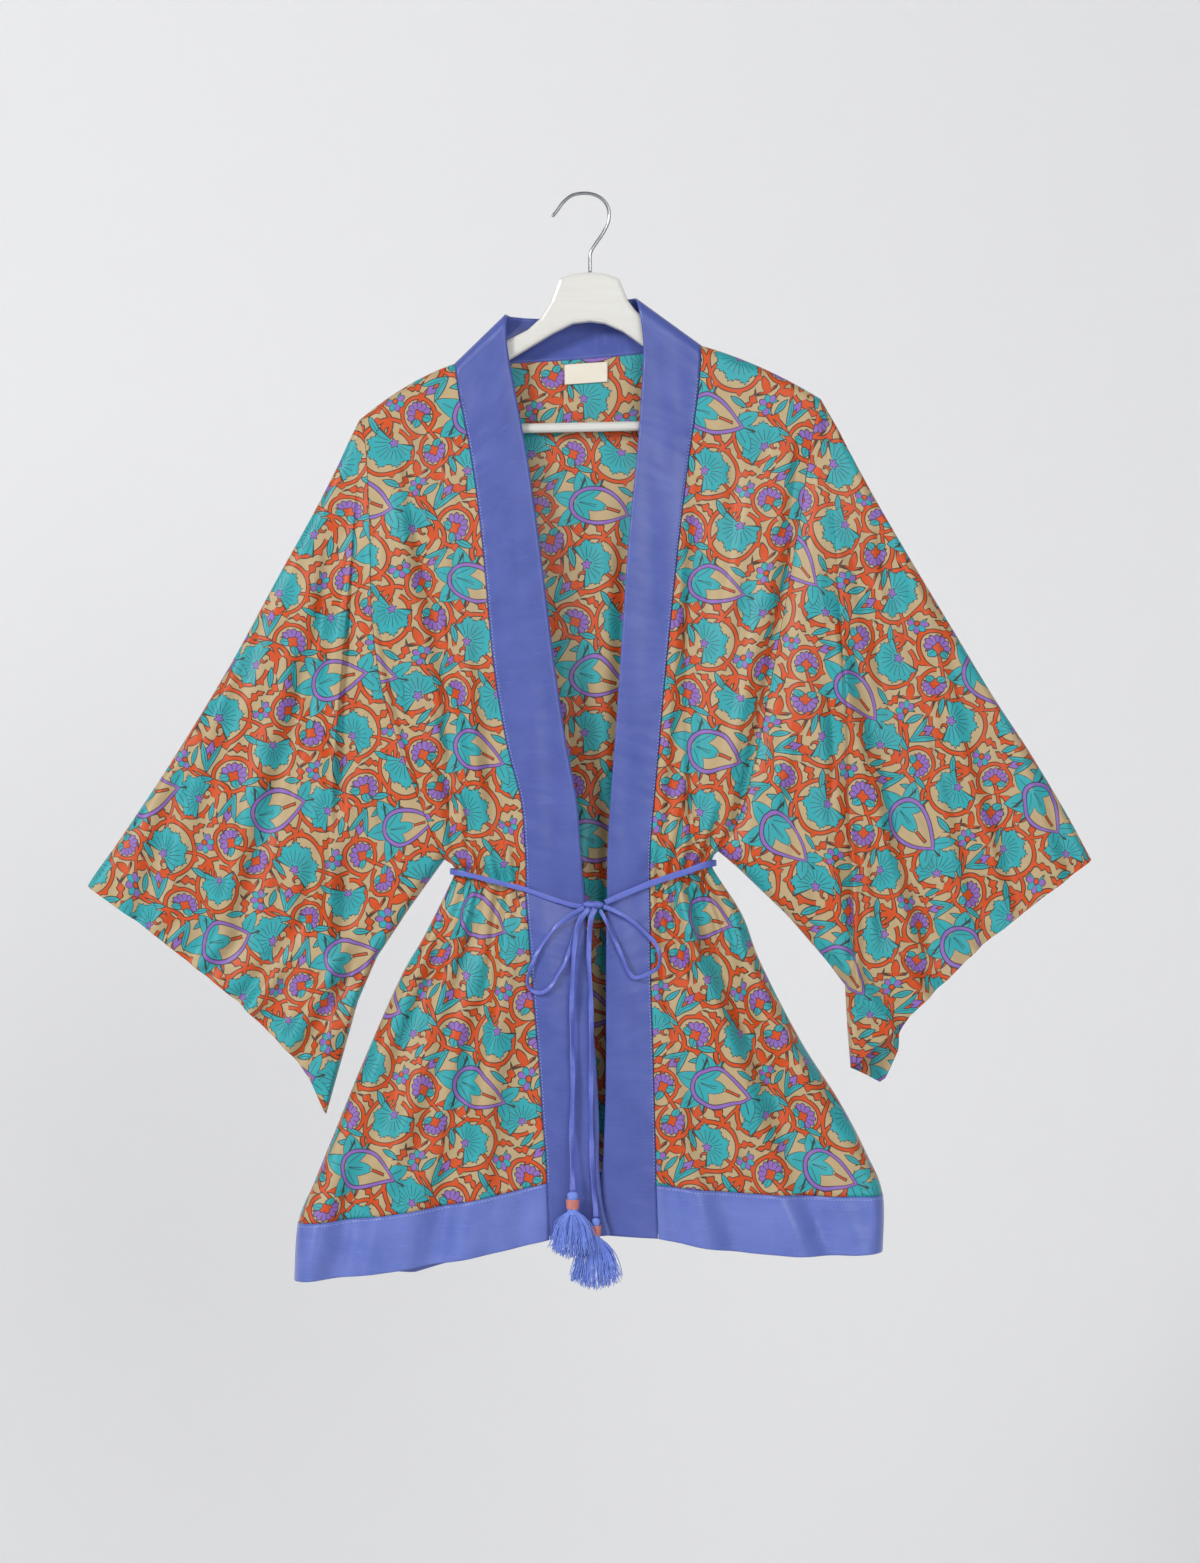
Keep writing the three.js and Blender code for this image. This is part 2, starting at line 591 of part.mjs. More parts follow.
// Sleeves: closed along the top fold, at the shoulder point and along the underside.
const sleeves = {
  left: [LEFT_FRONT, LEFT_TOP_FOLD, LEFT_FAR, LEFT_SLEEVE_SAMPLES],
  right: [RIGHT_FRONT, RIGHT_TOP_FOLD, RIGHT_FAR, RIGHT_SLEEVE_SAMPLES],
};
for (const [name, [rows, topFold, far, samples]] of Object.entries(sleeves)) {
  const [front, back] = ["front", "back"].map((layer) =>
    gridOf(sleeveSurface(rows, topFold, far, name, layer), samples, SLEEVE_ROWS));
  const tip = samples.indexOf(KNIFE[name].edge);
  const lastRow = SLEEVE_ROWS.length - 1;
  const isClosed = ([r, c], [r2, c2]) => {
    if (c === 0 && c2 === 0) return true;
    if (r === 0 && r2 === 0) return true;
    return r === lastRow && r2 === lastRow && Math.min(c, c2) >= tip;
  };
  add(`sleeve_${name}`, tube(front, back, CLOTH, isClosed), print());
}

// The neck band: up the left front, round the neck and down the right front.
function bandFront(rows, lean) {
  const toward = Math.sign(rows[0].seamX - rows[0].sideX);
  return (w, v) => {
    const seam = column(rows, "seam", v);
    const free = column(rows, "free", v);
    const x = mix(seam[0] + toward * (SEAM_GAP + (BAND_THICK - CLOTH) * 0.25), free[0], w);
    const z = mix(seam[1], free[1], w);
    const open = openness(v * dist(seam, column(rows, "seam", v === 0 ? 1 : 0)) / Math.max(v, 1e-6), TOP_ROUND);
    const folds = foldsAt(FRONT_FOLDS, seam[0], seam[1]) * (1 - w) ** 2;
    return [x, -FOLD_GAP - (v === 0 ? 0 : open) * (bodyHalf(x, z, "front") - folds + lean * w * smooth((v - 9) / 9)), z];
  };
}
const acrossBand = (surface, v) => BAND_SAMPLES.map((w) => surface(w, v));
const bandRows = [...BODY_ROWS, HEM_ROW];
const leftBand = bandFront(LEFT_FRONT, 4.5);
const rightBand = bandFront(RIGHT_FRONT, -1.5);
const behindNeck = NECK_BACK.map((row) => BAND_SAMPLES.map((w) => [
  mix(row.seamX, row.freeX, w),
  mix(row.seamY, row.freeY, w) + 2 * Math.sin(Math.PI * w),
  mix(neckZ(row.seamX), row.freeZ, w),
]));
const bandGrid = [
  ...bandRows.toReversed().map((v) => acrossBand(leftBand, v)),
  ...behindNeck,
  ...bandRows.map((v) => acrossBand(rightBand, v)),
];
add("neck_band", wall(bandGrid, BAND_THICK), periwinkle());

// Hem bands hang from the panels' last row.
const HEM_ROWS = [LAST_ROW, LAST_ROW + 0.35, LAST_ROW + 0.7, HEM_ROW];
function hemBand(surface, samples) {
  const grid = gridOf(surface, samples, HEM_ROWS);
  return wall(grid.map((row) => row.map(([x, y, z]) => [x, y, z - SEAM_GAP])), HEM_THICK);
}
for (const [name, rows] of Object.entries(bodies)) {
  add(`hem_band_front_${name}`, hemBand(frontSurface(rows), FRONT_SAMPLES), periwinkle());
}
add("hem_band_back", hemBand(backSurface, BACK_SAMPLES), periwinkle());

// The label lies on the inside of the back, under the neck seam.
const LABEL = { x: 3, z: -177, wide: 43, tall: 20, thick: 0.8, tilt: 0.07, off: 1.6 };
const labelGrid = [0, 0.5, 1].map((down) => [0, 0.25, 0.5, 0.75, 1].map((across) => {
  const x = LABEL.x + (across - 0.5) * LABEL.wide;
  const z = LABEL.z + (0.5 - down) * LABEL.tall + (across - 0.5) * LABEL.wide * LABEL.tilt;
  return [x, FOLD_GAP + bodyHalf(x, z, "back") - LABEL.off, z];
}));
add("neck_label", wall(labelGrid, LABEL.thick), finish(0xe9e0d2, 0.7));

// The belt round the waist, from the knot round the left side, the back and the right side.
const BELT_STATIONS = table("x y z", [
  [-0.5, -20, -711], [-12, -19, -709], [-30, -18.7, -703.5], [-57, -18.9, -694], [-80, -20, -688], [-105, -20, -681.5],
  [-120, -18.5, -678], [-129, -12, -676.8], [-132.2, -5, -676.5], [-132.4, 0, -676.5], [-132.2, 5, -676.5],
  [-129, 12, -676.5], [-120, 18.5, -676], [-100, 20, -675.4], [-60, 20.6, -674], [0, 20.6, -672],
  [60, 20.6, -670], [100, 20, -668.8], [120, 18.5, -668.2], [129.3, 12, -668], [132.6, 5, -668],
  [132.8, 0, -668], [132.6, -5, -668], [129.3, -12, -668.4], [120, -18.5, -670], [100, -20, -677],
  [67, -18.9, -688], [45, -18.6, -697], [32, -19, -702.5], [21.9, -20, -707],
]);
const beltLine = smoothLine(BELT_STATIONS.map(({ x, y, z }) => [x, y, z]), 64);
const beltFaces = beltLine.map(([x, y]) => normalize([(x / 132) ** 3 * 0.9, y / 20, 0]));
add("belt_waist", ribbon(beltLine, beltFaces, BELT_WIDE, BELT_THICK, 4), periwinkle());

// The knot, its two bow loops and the two hanging ends.
const KNOT = { x: 10.5, y: -21.6, z: -709, long: 21.5, round: 8.4 };
const knot = new THREE.SphereGeometry(0.5, 12, 8);
knot.scale(KNOT.long, KNOT.round, KNOT.round);
knot.translate(KNOT.x, KNOT.y, KNOT.z);
add("belt_knot", knot, periwinkle());

const TIES = {
  belt_loop_left: table("x y z", [
    [1.6, -24.4, -711.6], [-11, -24.8, -718.5], [-27, -24.5, -731], [-39, -25.5, -746], [-47, -26.5, -760],
    [-54, -28, -778], [-54.5, -28.5, -788], [-50, -28.5, -794], [-41, -28.5, -796], [-32, -28, -790],
    [-25, -27.5, -778], [-18, -27, -766], [-12, -25.5, -750], [-7, -23.7, -733], [-1, -22.2, -717], [2.4, -21.9, -713.4],
  ]),
  belt_loop_right: table("x y z", [
    [20.6, -24.1, -710.6], [33, -24.6, -715.5], [49, -24.5, -725], [62, -25.5, -737], [71, -26.5, -746],
    [76, -27.5, -757], [75, -28.5, -770], [65, -28.5, -777], [52, -28.5, -781], [44, -28, -773],
    [38, -26.5, -758], [31, -25.5, -742], [24, -24.3, -727], [18.6, -23.2, -717], [16.4, -22.8, -714.4],
  ]),
  belt_end_left: table("x y z", [
    [6, -25.9, -712.2], [-4, -29.5, -728], [-9, -31, -760], [-11, -32, -820], [-10, -34, -880],
    [-11, -38, -940], [-10, -44.5, -980], [-10, -47.4, -990.3],
  ]),
  belt_end_right: table("x y z", [
    [12, -26.1, -712.3], [7.5, -29.5, -726], [6, -31, -760], [8, -32, -800], [8.5, -32.5, -860],
    [8, -33, -920], [10, -35, -980], [12.5, -38, -1008], [13, -38.6, -1017.2],
  ]),
};
for (const [name, rows] of Object.entries(TIES)) {
  const steps = name.includes("loop") ? 22 : 26;
  const line = smoothLine(rows.map(({ x, y, z }) => [x, y, z]), steps);
  add(name, ribbon(line, line.map(() => [0, -1, 0]), TIE_WIDE, TIE_THICK, 8), periwinkle());
}

// Tassels: strands fused into a head that passes through a coral binding.
const TASSELS = table("name x y top bind spread fall deep", [
  ["left", -10, -47.4, -991, 12, 25, 46, 5],
  ["right", 13, -38.6, -1018, 9.5, 27, 51, 4.5],
]);
const HEAD_TALL = 20;
const BIND_TALL = 10.5;
const STRANDS_ACROSS = 11;
const STRAND_LAYERS = 2;
const STRAND_RADIUS = 0.75;

function asSolid(geometry) {
  const bare = geometry.clone();
  bare.deleteAttribute("normal");
  bare.deleteAttribute("uv");
  const merged = mergeVertices(bare, 1e-4);
  return new wasm.Manifold(new wasm.Mesh({
    numProp: 3,
    vertProperties: new Float32Array(merged.attributes.position.array),
    triVerts: new Uint32Array(merged.index.array),
  }));
}

function asGeometry(solid) {
  const mesh = solid.getMesh();
  const geometry = new THREE.BufferGeometry();
  geometry.setAttribute("position", new THREE.BufferAttribute(new Float32Array(mesh.vertProperties), 3));
  geometry.setIndex(new THREE.BufferAttribute(new Uint32Array(mesh.triVerts), 1));
  geometry.computeVertexNormals();
  return geometry;
}

// A barrel of the given profile of [radius, height], flattened to half its depth.
function barrel(profile, flat, x, y, z, segments = 12) {
  const geometry = new THREE.LatheGeometry(profile.map(([r, h]) => new THREE.Vector2(r, h)), segments);
  geometry.rotateX(Math.PI / 2);
  geometry.scale(1, flat, 1);
  geometry.translate(x, y, z);
  return geometry;
}

for (const tassel of TASSELS) {
  const neck = tassel.bind / 2 - 1.2;
  const bindTop = tassel.top - 7;
  const head = barrel([[0, -HEAD_TALL], [neck * 0.8, -HEAD_TALL], [neck, -HEAD_TALL + 3], [neck, -5], [neck + 0.6, -2.5],
    [neck * 0.6, 0], [0, 0]], 0.8, tassel.x, tassel.y, tassel.top);
  let solid = asSolid(head);
  for (let layer = 0; layer < STRAND_LAYERS; layer++) {
    for (let k = 0; k < STRANDS_ACROSS; k++) {
      const across = (k + 0.4 * layer) / (STRANDS_ACROSS - 0.6) * 2 - 1;
      const depth = 2 * layer - 1;
      const uneven = Math.sin(7.3 * k + 4.1 * layer);
      const foot = [
        tassel.x + across * tassel.spread * (0.93 + 0.05 * uneven),
        tassel.y + depth * tassel.deep * (1 - 0.35 * Math.abs(across)),
        tassel.top - HEAD_TALL - tassel.fall * (1 - 0.22 * across ** 2) + 3 * uneven,
      ];
      const root = [tassel.x + across * neck * 0.62, tassel.y + depth * neck * 0.45, tassel.top - HEAD_TALL + 1.2];
      const bend = [mix(root[0], foot[0], 0.62), mix(root[1], foot[1], 0.6), mix(root[2], foot[2], 0.5)];
      const line = smoothLine([root, bend, foot], 4);
      solid = solid.add(asSolid(ribbon(line, line.map(() => [0, -1, 0]), 2 * STRAND_RADIUS, 2 * STRAND_RADIUS, 3)));
    }
  }
  add(`tassel_${tassel.name}`, asGeometry(solid), periwinkle());
  const inner = neck + 0.35;
  const outer = tassel.bind / 2 + 0.4;
  const ring = barrel([[inner, -BIND_TALL], [outer - 0.8, -BIND_TALL], [outer - 0.3, -BIND_TALL / 2], [outer, -0.8],
    [inner, 0], [inner, -BIND_TALL]], 0.8, tassel.x, tassel.y, bindTop);
  add(`tassel_binding_${tassel.name}`, ring, finish(0xd9786c, 0.55));
}

// The hanger's wood: a flat arched piece whose upper edge lies just inside the shoulders.
const UNDER_CLOTH = BAND_THICK / 2 + 0.65;
const UNDER_TURN = 2.4; // more room where the band turns over the shoulder
function armTop(rows, from) {
  const places = [];
  for (let k = 0; k <= 7; k++) {
    const u = mix(from, 1.0, k / 7);
    const [a, b] = [frontPoint(rows, u - 0.01, 0), frontPoint(rows, u + 0.01, 0)];
    const way = normalize([b[0] - a[0], b[1] - a[1]]);
    const [x, z] = frontPoint(rows, u, 0);
    const out = Math.sign(way[0]);
    const under = UNDER_CLOTH + UNDER_TURN * smooth((u - 0.8) / 0.2);
    places.push([x + out * way[1] * under, z - out * way[0] * under]);
  }
  return places;
}
const woodOutline = [
  [-183, -247], [-205, -248], [-214, -238],
  ...armTop(LEFT_FRONT, 0.07),
  [-77, -146], [-55, -135], [-43, -124], [-32, -106], [-24, -84],
  [-9, -79], [7, -77.5], [22, -79], [36, -84], [45, -106], [53, -116], [66, -126],
  ...armTop(RIGHT_FRONT, 0.07).toReversed(),
  [229, -224], [221, -236], [197, -241],
  [197, -213], [152, -190], [107, -168], [61, -152], [40, -137], [22, -129], [7, -127],
  [-10, -129], [-30, -139], [-73, -165], [-113, -189], [-163, -214], [-183, -222],
];
const woodShape = new THREE.Shape(woodOutline.map(([x, z]) => new THREE.Vector2(x, z)));
const wood = new THREE.ExtrudeGeometry(woodShape, {
  depth: WOOD_THICK - 2 * WOOD_EDGE,
  bevelEnabled: true,
  bevelThickness: WOOD_EDGE,
  bevelSize: WOOD_EDGE,
  bevelOffset: -WOOD_EDGE,
  bevelSegments: 2,
});
wood.translate(0, 0, WOOD_EDGE - WOOD_THICK / 2);
wood.rotateX(Math.PI / 2);
add("hanger_wood", wood, finish(0xf2f1ec, 0.45));

const BAR = { left: [-182.7, -236], right: [196.7, -228] };
const barMiddle = [(BAR.left[0] + BAR.right[0]) / 2, (BAR.left[1] + BAR.right[1]) / 2];
const barLength = Math.hypot(BAR.right[0] - BAR.left[0], BAR.right[1] - BAR.left[1]) - 0.3;
const bar = new THREE.CylinderGeometry(BAR_RADIUS, BAR_RADIUS, barLength, 12);
bar.rotateZ(Math.PI / 2);
bar.rotateY(-Math.atan2(BAR.right[1] - BAR.left[1], BAR.right[0] - BAR.left[0]));
bar.translate(barMiddle[0], 0, barMiddle[1]);
add("hanger_bar", bar, finish(0xf2f1ec, 0.45));

// The wire hook: up from the wood, round the rail and down to its tip.
const HOOK_LINE = [
  [7, 0, -77.1], [7, 0, -68], [7.5, 0, -58], [12.5, 0, -49], [20, 0, -38], [25.5, 0, -26], [25.5, 0, -14],
  [20, 0, -5], [11, 0, 0.4], [0, 0, WIRE_RADIUS], [-11, 0, -0.4], [-19.5, 0, -7], [-25.5, 0, -15], [-31, 0, -22],
];
const hookLine = smoothLine(HOOK_LINE, 30);
const hook = ribbon(hookLine, hookLine.map(() => [0, -1, 0]), 2 * WIRE_RADIUS, 2 * WIRE_RADIUS, 8);
add("hanger_hook", hook, finish(0xb9bcc0, 0.2, 1));

export default group;
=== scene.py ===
"""A kimono robe with a tie belt on a white wooden hanger, dressed around its CAD frame.

Tables and lines are in millimetres in the CAD model's frame: +Z up, the robe's front faces
-Y, and the origin is the inner top of the hanger's hook. Left and right are the viewer's.
"""

import math

import bpy
import numpy as np
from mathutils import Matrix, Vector


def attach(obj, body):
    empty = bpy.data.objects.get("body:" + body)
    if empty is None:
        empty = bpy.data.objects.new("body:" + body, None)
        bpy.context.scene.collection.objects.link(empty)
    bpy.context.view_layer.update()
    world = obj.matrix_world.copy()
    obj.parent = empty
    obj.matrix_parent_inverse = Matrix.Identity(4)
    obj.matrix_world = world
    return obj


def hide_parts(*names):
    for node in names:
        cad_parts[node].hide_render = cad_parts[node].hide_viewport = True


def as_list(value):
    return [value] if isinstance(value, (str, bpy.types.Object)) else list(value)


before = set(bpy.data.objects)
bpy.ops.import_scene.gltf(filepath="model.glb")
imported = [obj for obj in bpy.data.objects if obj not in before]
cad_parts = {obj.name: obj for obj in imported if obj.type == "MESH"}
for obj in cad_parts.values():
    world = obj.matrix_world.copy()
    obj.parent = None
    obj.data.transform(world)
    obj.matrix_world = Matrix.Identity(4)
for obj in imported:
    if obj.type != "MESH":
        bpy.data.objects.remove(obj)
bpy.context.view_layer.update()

MM = 0.001
PHOTO_TALL = 1563
PHOTO_CENTRE = (17.0, -586.5)
CAMERA_AWAY = 3.5

# The CAD model's own tables.

SEAM_GAP = 0.2
ARM_GAP = 0.1
ARM_GAP_MORE = 0.3
FOLD_GAP = 0.4
SLEEVE_FOLD_GAP = 1.0
TOP_ROUND = 11
SIDE_ROUND = 12
LAST_ARM_ROW = 9
LAST_ROW = 17
HEM_ROW = 18
CLOTH = 0.6
BAND_THICK = 2.0
HEM_THICK = 1.6


def table(names, rows):
    """Named columns from rows of numbers."""
    return dict(zip(names.split(), np.array(rows, float).T))


FRONT_COLUMNS = "sideX sideZ seamX seamZ freeX freeZ sag"
LEFT_FRONT = table(FRONT_COLUMNS, [
    [-223, -225, -128, -169, -77, -120, -6], [-217, -251, -124, -199, -75, -155, -3],
    [-214, -295, -115, -245, -67, -200, 0], [-212, -355, -107, -295, -55, -265, 0],
    [-210, -425, -99, -365, -43, -350, 0], [-200, -495, -90, -465, -30, -455, 0],
    [-181, -555, -77, -545, -17, -545, 0], [-159, -615, -62, -605, -6, -605, 0],
    [-145, -650, -58, -650, -2, -655, 0], [-138, -664, -57, -673, 0, -684, 0],
    [-129.5, -671, -57, -688, 2, -705, 0], [-129.5, -682, -57, -702, 2.5, -720, 0],
    [-158, -740, -53, -750, 5, -765, 2], [-183, -784, -50, -795, 8, -805, 3],
    [-220, -868, -44, -865, 13, -865, 4], [-244, -927, -40, -925, 16, -924, 5],
    [-268, -986, -37, -957, 16, -965, 6], [-284, -1026, -36, -985, 20, -1006, 6],
    [-288, -1083, -33, -1041, 28, -1036, 6],
])
RIGHT_FRONT = table(FRONT_COLUMNS, [
    [237, -204, 118, -151, 54, -105, -5], [231, -230, 117, -177, 60, -148, -3],
    [225, -270, 113, -215, 58, -200, 0], [215, -335, 104, -280, 54, -260, 0],
    [203, -405, 94, -365, 45, -350, 0], [187, -491, 82, -485, 36, -485, 0],
    [174, -555, 75, -565, 31, -555, 0], [158, -615, 70, -620, 27, -610, 0],
    [143, -648, 67.5, -652, 24.5, -655, 0], [135, -656, 67, -668, 24, -682, 0],
    [130, -662, 67, -683, 24, -700, 0], [130, -674, 67, -698, 23.5, -715, 0],
    [159, -720, 67.5, -742, 23, -760, 2], [177, -767, 68, -790, 23, -805, 3],
    [217, -845, 70, -855, 23, -860, 4], [257, -908, 71.5, -915, 22, -915, 4],
    [283, -958, 72.5, -955, 20, -960, 4], [299, -998, 73, -987, 18, -990, 4],
    [299, -1054, 75, -1040, 24, -1037, 9],
])
LEFT_TOP_FOLD = table("x z", [
    [-233, -245], [-246, -273], [-270, -320], [-305, -383], [-345, -457], [-385, -525], [-421, -582],
    [-463, -645], [-486, -677], [-495, -691],
])
RIGHT_TOP_FOLD = table("x z", [
    [255, -235], [269, -262], [293, -306], [328, -366], [369, -434], [410, -502], [446, -557],
    [482, -617], [501, -652], [508, -665],
])
FAR_COLUMNS = "u x z backX backZ"
LEFT_FAR = table(FAR_COLUMNS, [
    [0.0, -495, -691, -495, -691], [0.14, -433, -735, -433, -735], [0.34, -343, -807, -343, -807],
    [0.48, -290, -859, -289, -861], [0.56, -271, -883, -270, -886], [0.62, -256, -918, -256, -918],
    [0.64, -225, -806, -225, -806], [0.76, -206, -762, -206, -762], [0.88, -172, -711, -172, -711],
    [1.0, -138, -664, -138, -664],
])
RIGHT_FAR = table(FAR_COLUMNS, [
    [0.0, 508, -665, 508, -665], [0.12, 454, -706, 454, -706], [0.26, 397, -751, 397, -751],
    [0.4, 347, -800, 347, -800], [0.47, 328, -818, 328, -820], [0.52, 314, -830, 316, -840],
    [0.56, 297, -846, 315, -857], [0.6, 281, -860, 300, -889], [0.63, 267, -872, 267, -872],
    [0.64, 264, -830, 264, -830], [0.65, 262, -790, 262, -790], [0.74, 243, -765, 243, -765],
    [0.86, 205, -721, 205, -721], [0.96, 155, -673, 155, -673], [1.0, 135, -656, 135, -656],
])
NECK_BACK = table("seamX seamY freeX freeY freeZ", [
    [-119, 9, -72, 9, -121], [-100, 12.5, -60, 17, -121], [-73, 13, -44, 22, -121],
    [-30, 13, -14, 26, -115], [12, 13, 16, 26, -108], [61, 13, 42, 20, -102], [92, 12.5, 50, 14, -102],
    [110, 9, 53, 8, -103],
])
NECK_SAG = 3
BODY_DEPTH = table("z half", [
    [-100, 12], [-250, 12], [-400, 15], [-550, 18], [-650, 18], [-740, 19], [-900, 25], [-1090, 30],
])
SLEEVE_DEPTH = 9
ARM_SHARE = 0.55
BELT_LINE = table("x front back", [
    [-130, -676.5, -676.5], [-57, -694, -674], [4, -711, -672], [24, -706, -671], [67, -688, -669],
    [130, -668, -668],
])
BELT_PINCH = 5
BELT_PINCH_REACH = 24
GATHERS = 4.5
GATHER_DEEP = 3
# Folds: a line's top x and z, its foot x and z, its bow, half width and depth.
FRONT_FOLDS = [
    [-158, -225, -133, -610, 12, 15, 5], [-185, -410, -185, -535, 0, 12, 3],
    [-124, -235, -82, -665, 4, 13, 4], [-98, -560, -96, -670, 0, 9, 3],
    [-178, -300, -170, -600, -6, 14, -4], [-84, -690, -158, -960, -8, 14, 8],
    [-122, -690, -246, -1030, -6, 14, 8], [-104, -700, -200, -1000, 4, 13, -6],
    [-60, -840, -84, -990, 0, 14, 4], [-62, -700, -110, -930, 4, 13, -5],
    [224, -250, 143, -652, 12, 14, 9], [109, -250, 109, -640, 5, 13, 6], [150, -254, 162, -450, 0, 14, 3],
    [170, -300, 128, -640, 8, 14, -5], [112, -690, 240, -970, -12, 13, 9],
    [122, -680, 262, -930, 4, 12, 7], [76, -700, 113, -985, -3, 14, 5], [94, -700, 160, -985, 0, 13, -6],
    [160, -937, 225, -1020, 0, 16, 4], [-270, -464, -273, -760, 0, 18, 3],
    [-330, -480, -360, -720, 0, 22, -3], [298, -342, 348, -640, -12, 18, 4],
    [330, -400, 400, -690, 0, 20, -3],
]
BACK_FOLDS = [
    [-150, -240, -110, -650, 8, 16, -5], [-60, -260, -50, -650, 0, 18, -4], [0, -320, 0, -655, 4, 18, 3],
    [60, -260, 50, -650, 0, 18, -5], [150, -240, 105, -650, -8, 16, -6],
    [-110, -690, -220, -1030, -6, 15, -9], [-70, -690, -120, -1040, -4, 15, -8],
    [-25, -690, -40, -1050, 0, 15, -7], [25, -690, 50, -1050, 2, 15, -8],
    [70, -690, 130, -1040, 4, 15, -9], [110, -680, 230, -1000, 8, 15, -8],
    [-300, -440, -330, -760, 0, 20, -3], [310, -420, 350, -740, 0, 20, -3],
]
FOLD_FADE = 60
BACK_DIP = table("u dip", [
    [0, 0], [0.1, 0], [0.2, 4], [0.32, -14], [0.5, -34], [0.75, -10], [0.9, 2], [1, 0],
])
KNIFE = {"left": (0.62, 0.64), "right": (0.63, 0.65)}
KNIFE_LIFT = 10
KNIFE_LIFT_BEHIND = 4
KNIFE_LIFT_CLOSED = 8
KNIFE_SPREAD = 0.15
KNIFE_PARTING = 0.09
LEFT_KNIFE_FALL = 20

BELT_STATIONS = [
    [-0.5, -20, -711], [-12, -19, -709], [-30, -18.7, -703.5], [-57, -18.9, -694], [-80, -20, -688],
    [-105, -20, -681.5], [-120, -18.5, -678], [-129, -12, -676.8], [-132.2, -5, -676.5],
    [-132.4, 0, -676.5], [-132.2, 5, -676.5], [-129, 12, -676.5], [-120, 18.5, -676], [-100, 20, -675.4],
    [-60, 20.6, -674], [0, 20.6, -672], [60, 20.6, -670], [100, 20, -668.8], [120, 18.5, -668.2],
    [129.3, 12, -668], [132.6, 5, -668], [132.8, 0, -668], [132.6, -5, -668], [129.3, -12, -668.4],
    [120, -18.5, -670], [100, -20, -677], [67, -18.9, -688], [45, -18.6, -697], [32, -19, -702.5],
    [21.9, -20, -707],
]
KNOT = {"x": 10.5, "y": -21.6, "z": -709, "long": 21.5, "round": 8.4}
LOOPS = {
    "left": [
        [1.6, -24.4, -711.6], [-11, -24.8, -718.5], [-27, -24.5, -731], [-39, -25.5, -746],
        [-47, -26.5, -760], [-54, -28, -778], [-54.5, -28.5, -788], [-50, -28.5, -794],
        [-41, -28.5, -796], [-32, -28, -790], [-25, -27.5, -778], [-18, -27, -766], [-12, -25.5, -750],
        [-7, -23.7, -733], [-1, -22.2, -717], [2.4, -21.9, -713.4],
    ],
    "right": [
        [20.6, -24.1, -710.6], [33, -24.6, -715.5], [49, -24.5, -725], [62, -25.5, -737],
        [71, -26.5, -746], [76, -27.5, -757], [75, -28.5, -770], [65, -28.5, -777], [52, -28.5, -781],
        [44, -28, -773], [38, -26.5, -758], [31, -25.5, -742], [24, -24.3, -727], [18.6, -23.2, -717],
        [16.4, -22.8, -714.4],
    ],
}
ENDS = {
    "left": [
        [6, -25.9, -712.2], [-4, -29.5, -728], [-9, -31, -760], [-11, -32, -820], [-10, -34, -880],
        [-11, -38, -940], [-10, -44.5, -980], [-10, -47.4, -990.3],
    ],
    "right": [
        [12, -26.1, -712.3], [7.5, -29.5, -726], [6, -31, -760], [8, -32, -800], [8.5, -32.5, -860],
        [8, -33, -920], [10, -35, -980], [12.5, -38, -1008], [13, -38.6, -1017.2],
    ],
}
TASSELS = {
    "left": {"x": -10, "y": -47.4, "top": -991, "bind": 12, "spread": 25, "fall": 46, "deep": 5},
    "right": {"x": 13, "y": -38.6, "top": -1018, "bind": 9.5, "spread": 27, "fall": 51, "deep": 4.5},
}
HEAD_TALL = 20
BIND_TALL = 10.5
HOOK_LINE = [
    [7, 0, -77.1], [7, 0, -68], [7.5, 0, -58], [12.5, 0, -49], [20, 0, -38], [25.5, 0, -26],
    [25.5, 0, -14], [20, 0, -5], [11, 0, 0.4], [0, 0, 1.75], [-11, 0, -0.4], [-19.5, 0, -7],
    [-25.5, 0, -15], [-31, 0, -22],
]
WIRE_RADIUS = 1.75
LABEL = {"x": 3, "z": -177, "wide": 43, "tall": 20, "tilt": 0.07, "off": 1.6}


# The surfaces of the cloth.

def mix(a, b, t):
    return a + (b - a) * t


def joined(*parts):
    """Points from their coordinates."""
    return np.stack(np.broadcast_arrays(*parts), axis=-1)


def way_along(line):
    """The way from the start of a line to each of its points."""
    return np.concatenate([[0], np.cumsum(np.linalg.norm(np.diff(line, axis=0), axis=1))])


def clamp01(t):
    return np.clip(t, 0, 1)


def smooth(t):
    return clamp01(t) ** 2 * (3 - 2 * clamp01(t))


def bell(t):
    return np.exp(-(t**2))


def at_row(rows, key, v):
    """Smooth interpolation of one column at a row number."""
    p = rows[key]
    i = np.clip(np.floor(v).astype(int), 0, len(p) - 2)
    t = v - i
    p0, p1, p2, p3 = (p[np.clip(i + k, 0, len(p) - 1)] for k in (-1, 0, 1, 2))
    s1 = (p2 - p0) / 2
    s2 = (p3 - p1) / 2
    return (((2 * (p1 - p2) + s1 + s2) * t + 3 * (p2 - p1) - 2 * s1 - s2) * t + s1) * t + p1


def column(rows, name, v):
    return at_row(rows, name + "X", v), at_row(rows, name + "Z", v)


def dist(p, q):
    return np.hypot(p[0] - q[0], p[1] - q[1])


def front_point(rows, u, v):
    side = column(rows, "side", v)
    seam = column(rows, "seam", v)
    droop = at_row(rows, "sag", v) * 4 * u * (1 - u)
    return mix(side[0], seam[0], u), mix(side[1], seam[1], u) - droop


def openness(d, round_):
    """How open the cloth is at a way d from a closed edge."""
    return np.sqrt(1 - (1 - clamp01(d / round_)) ** 2)


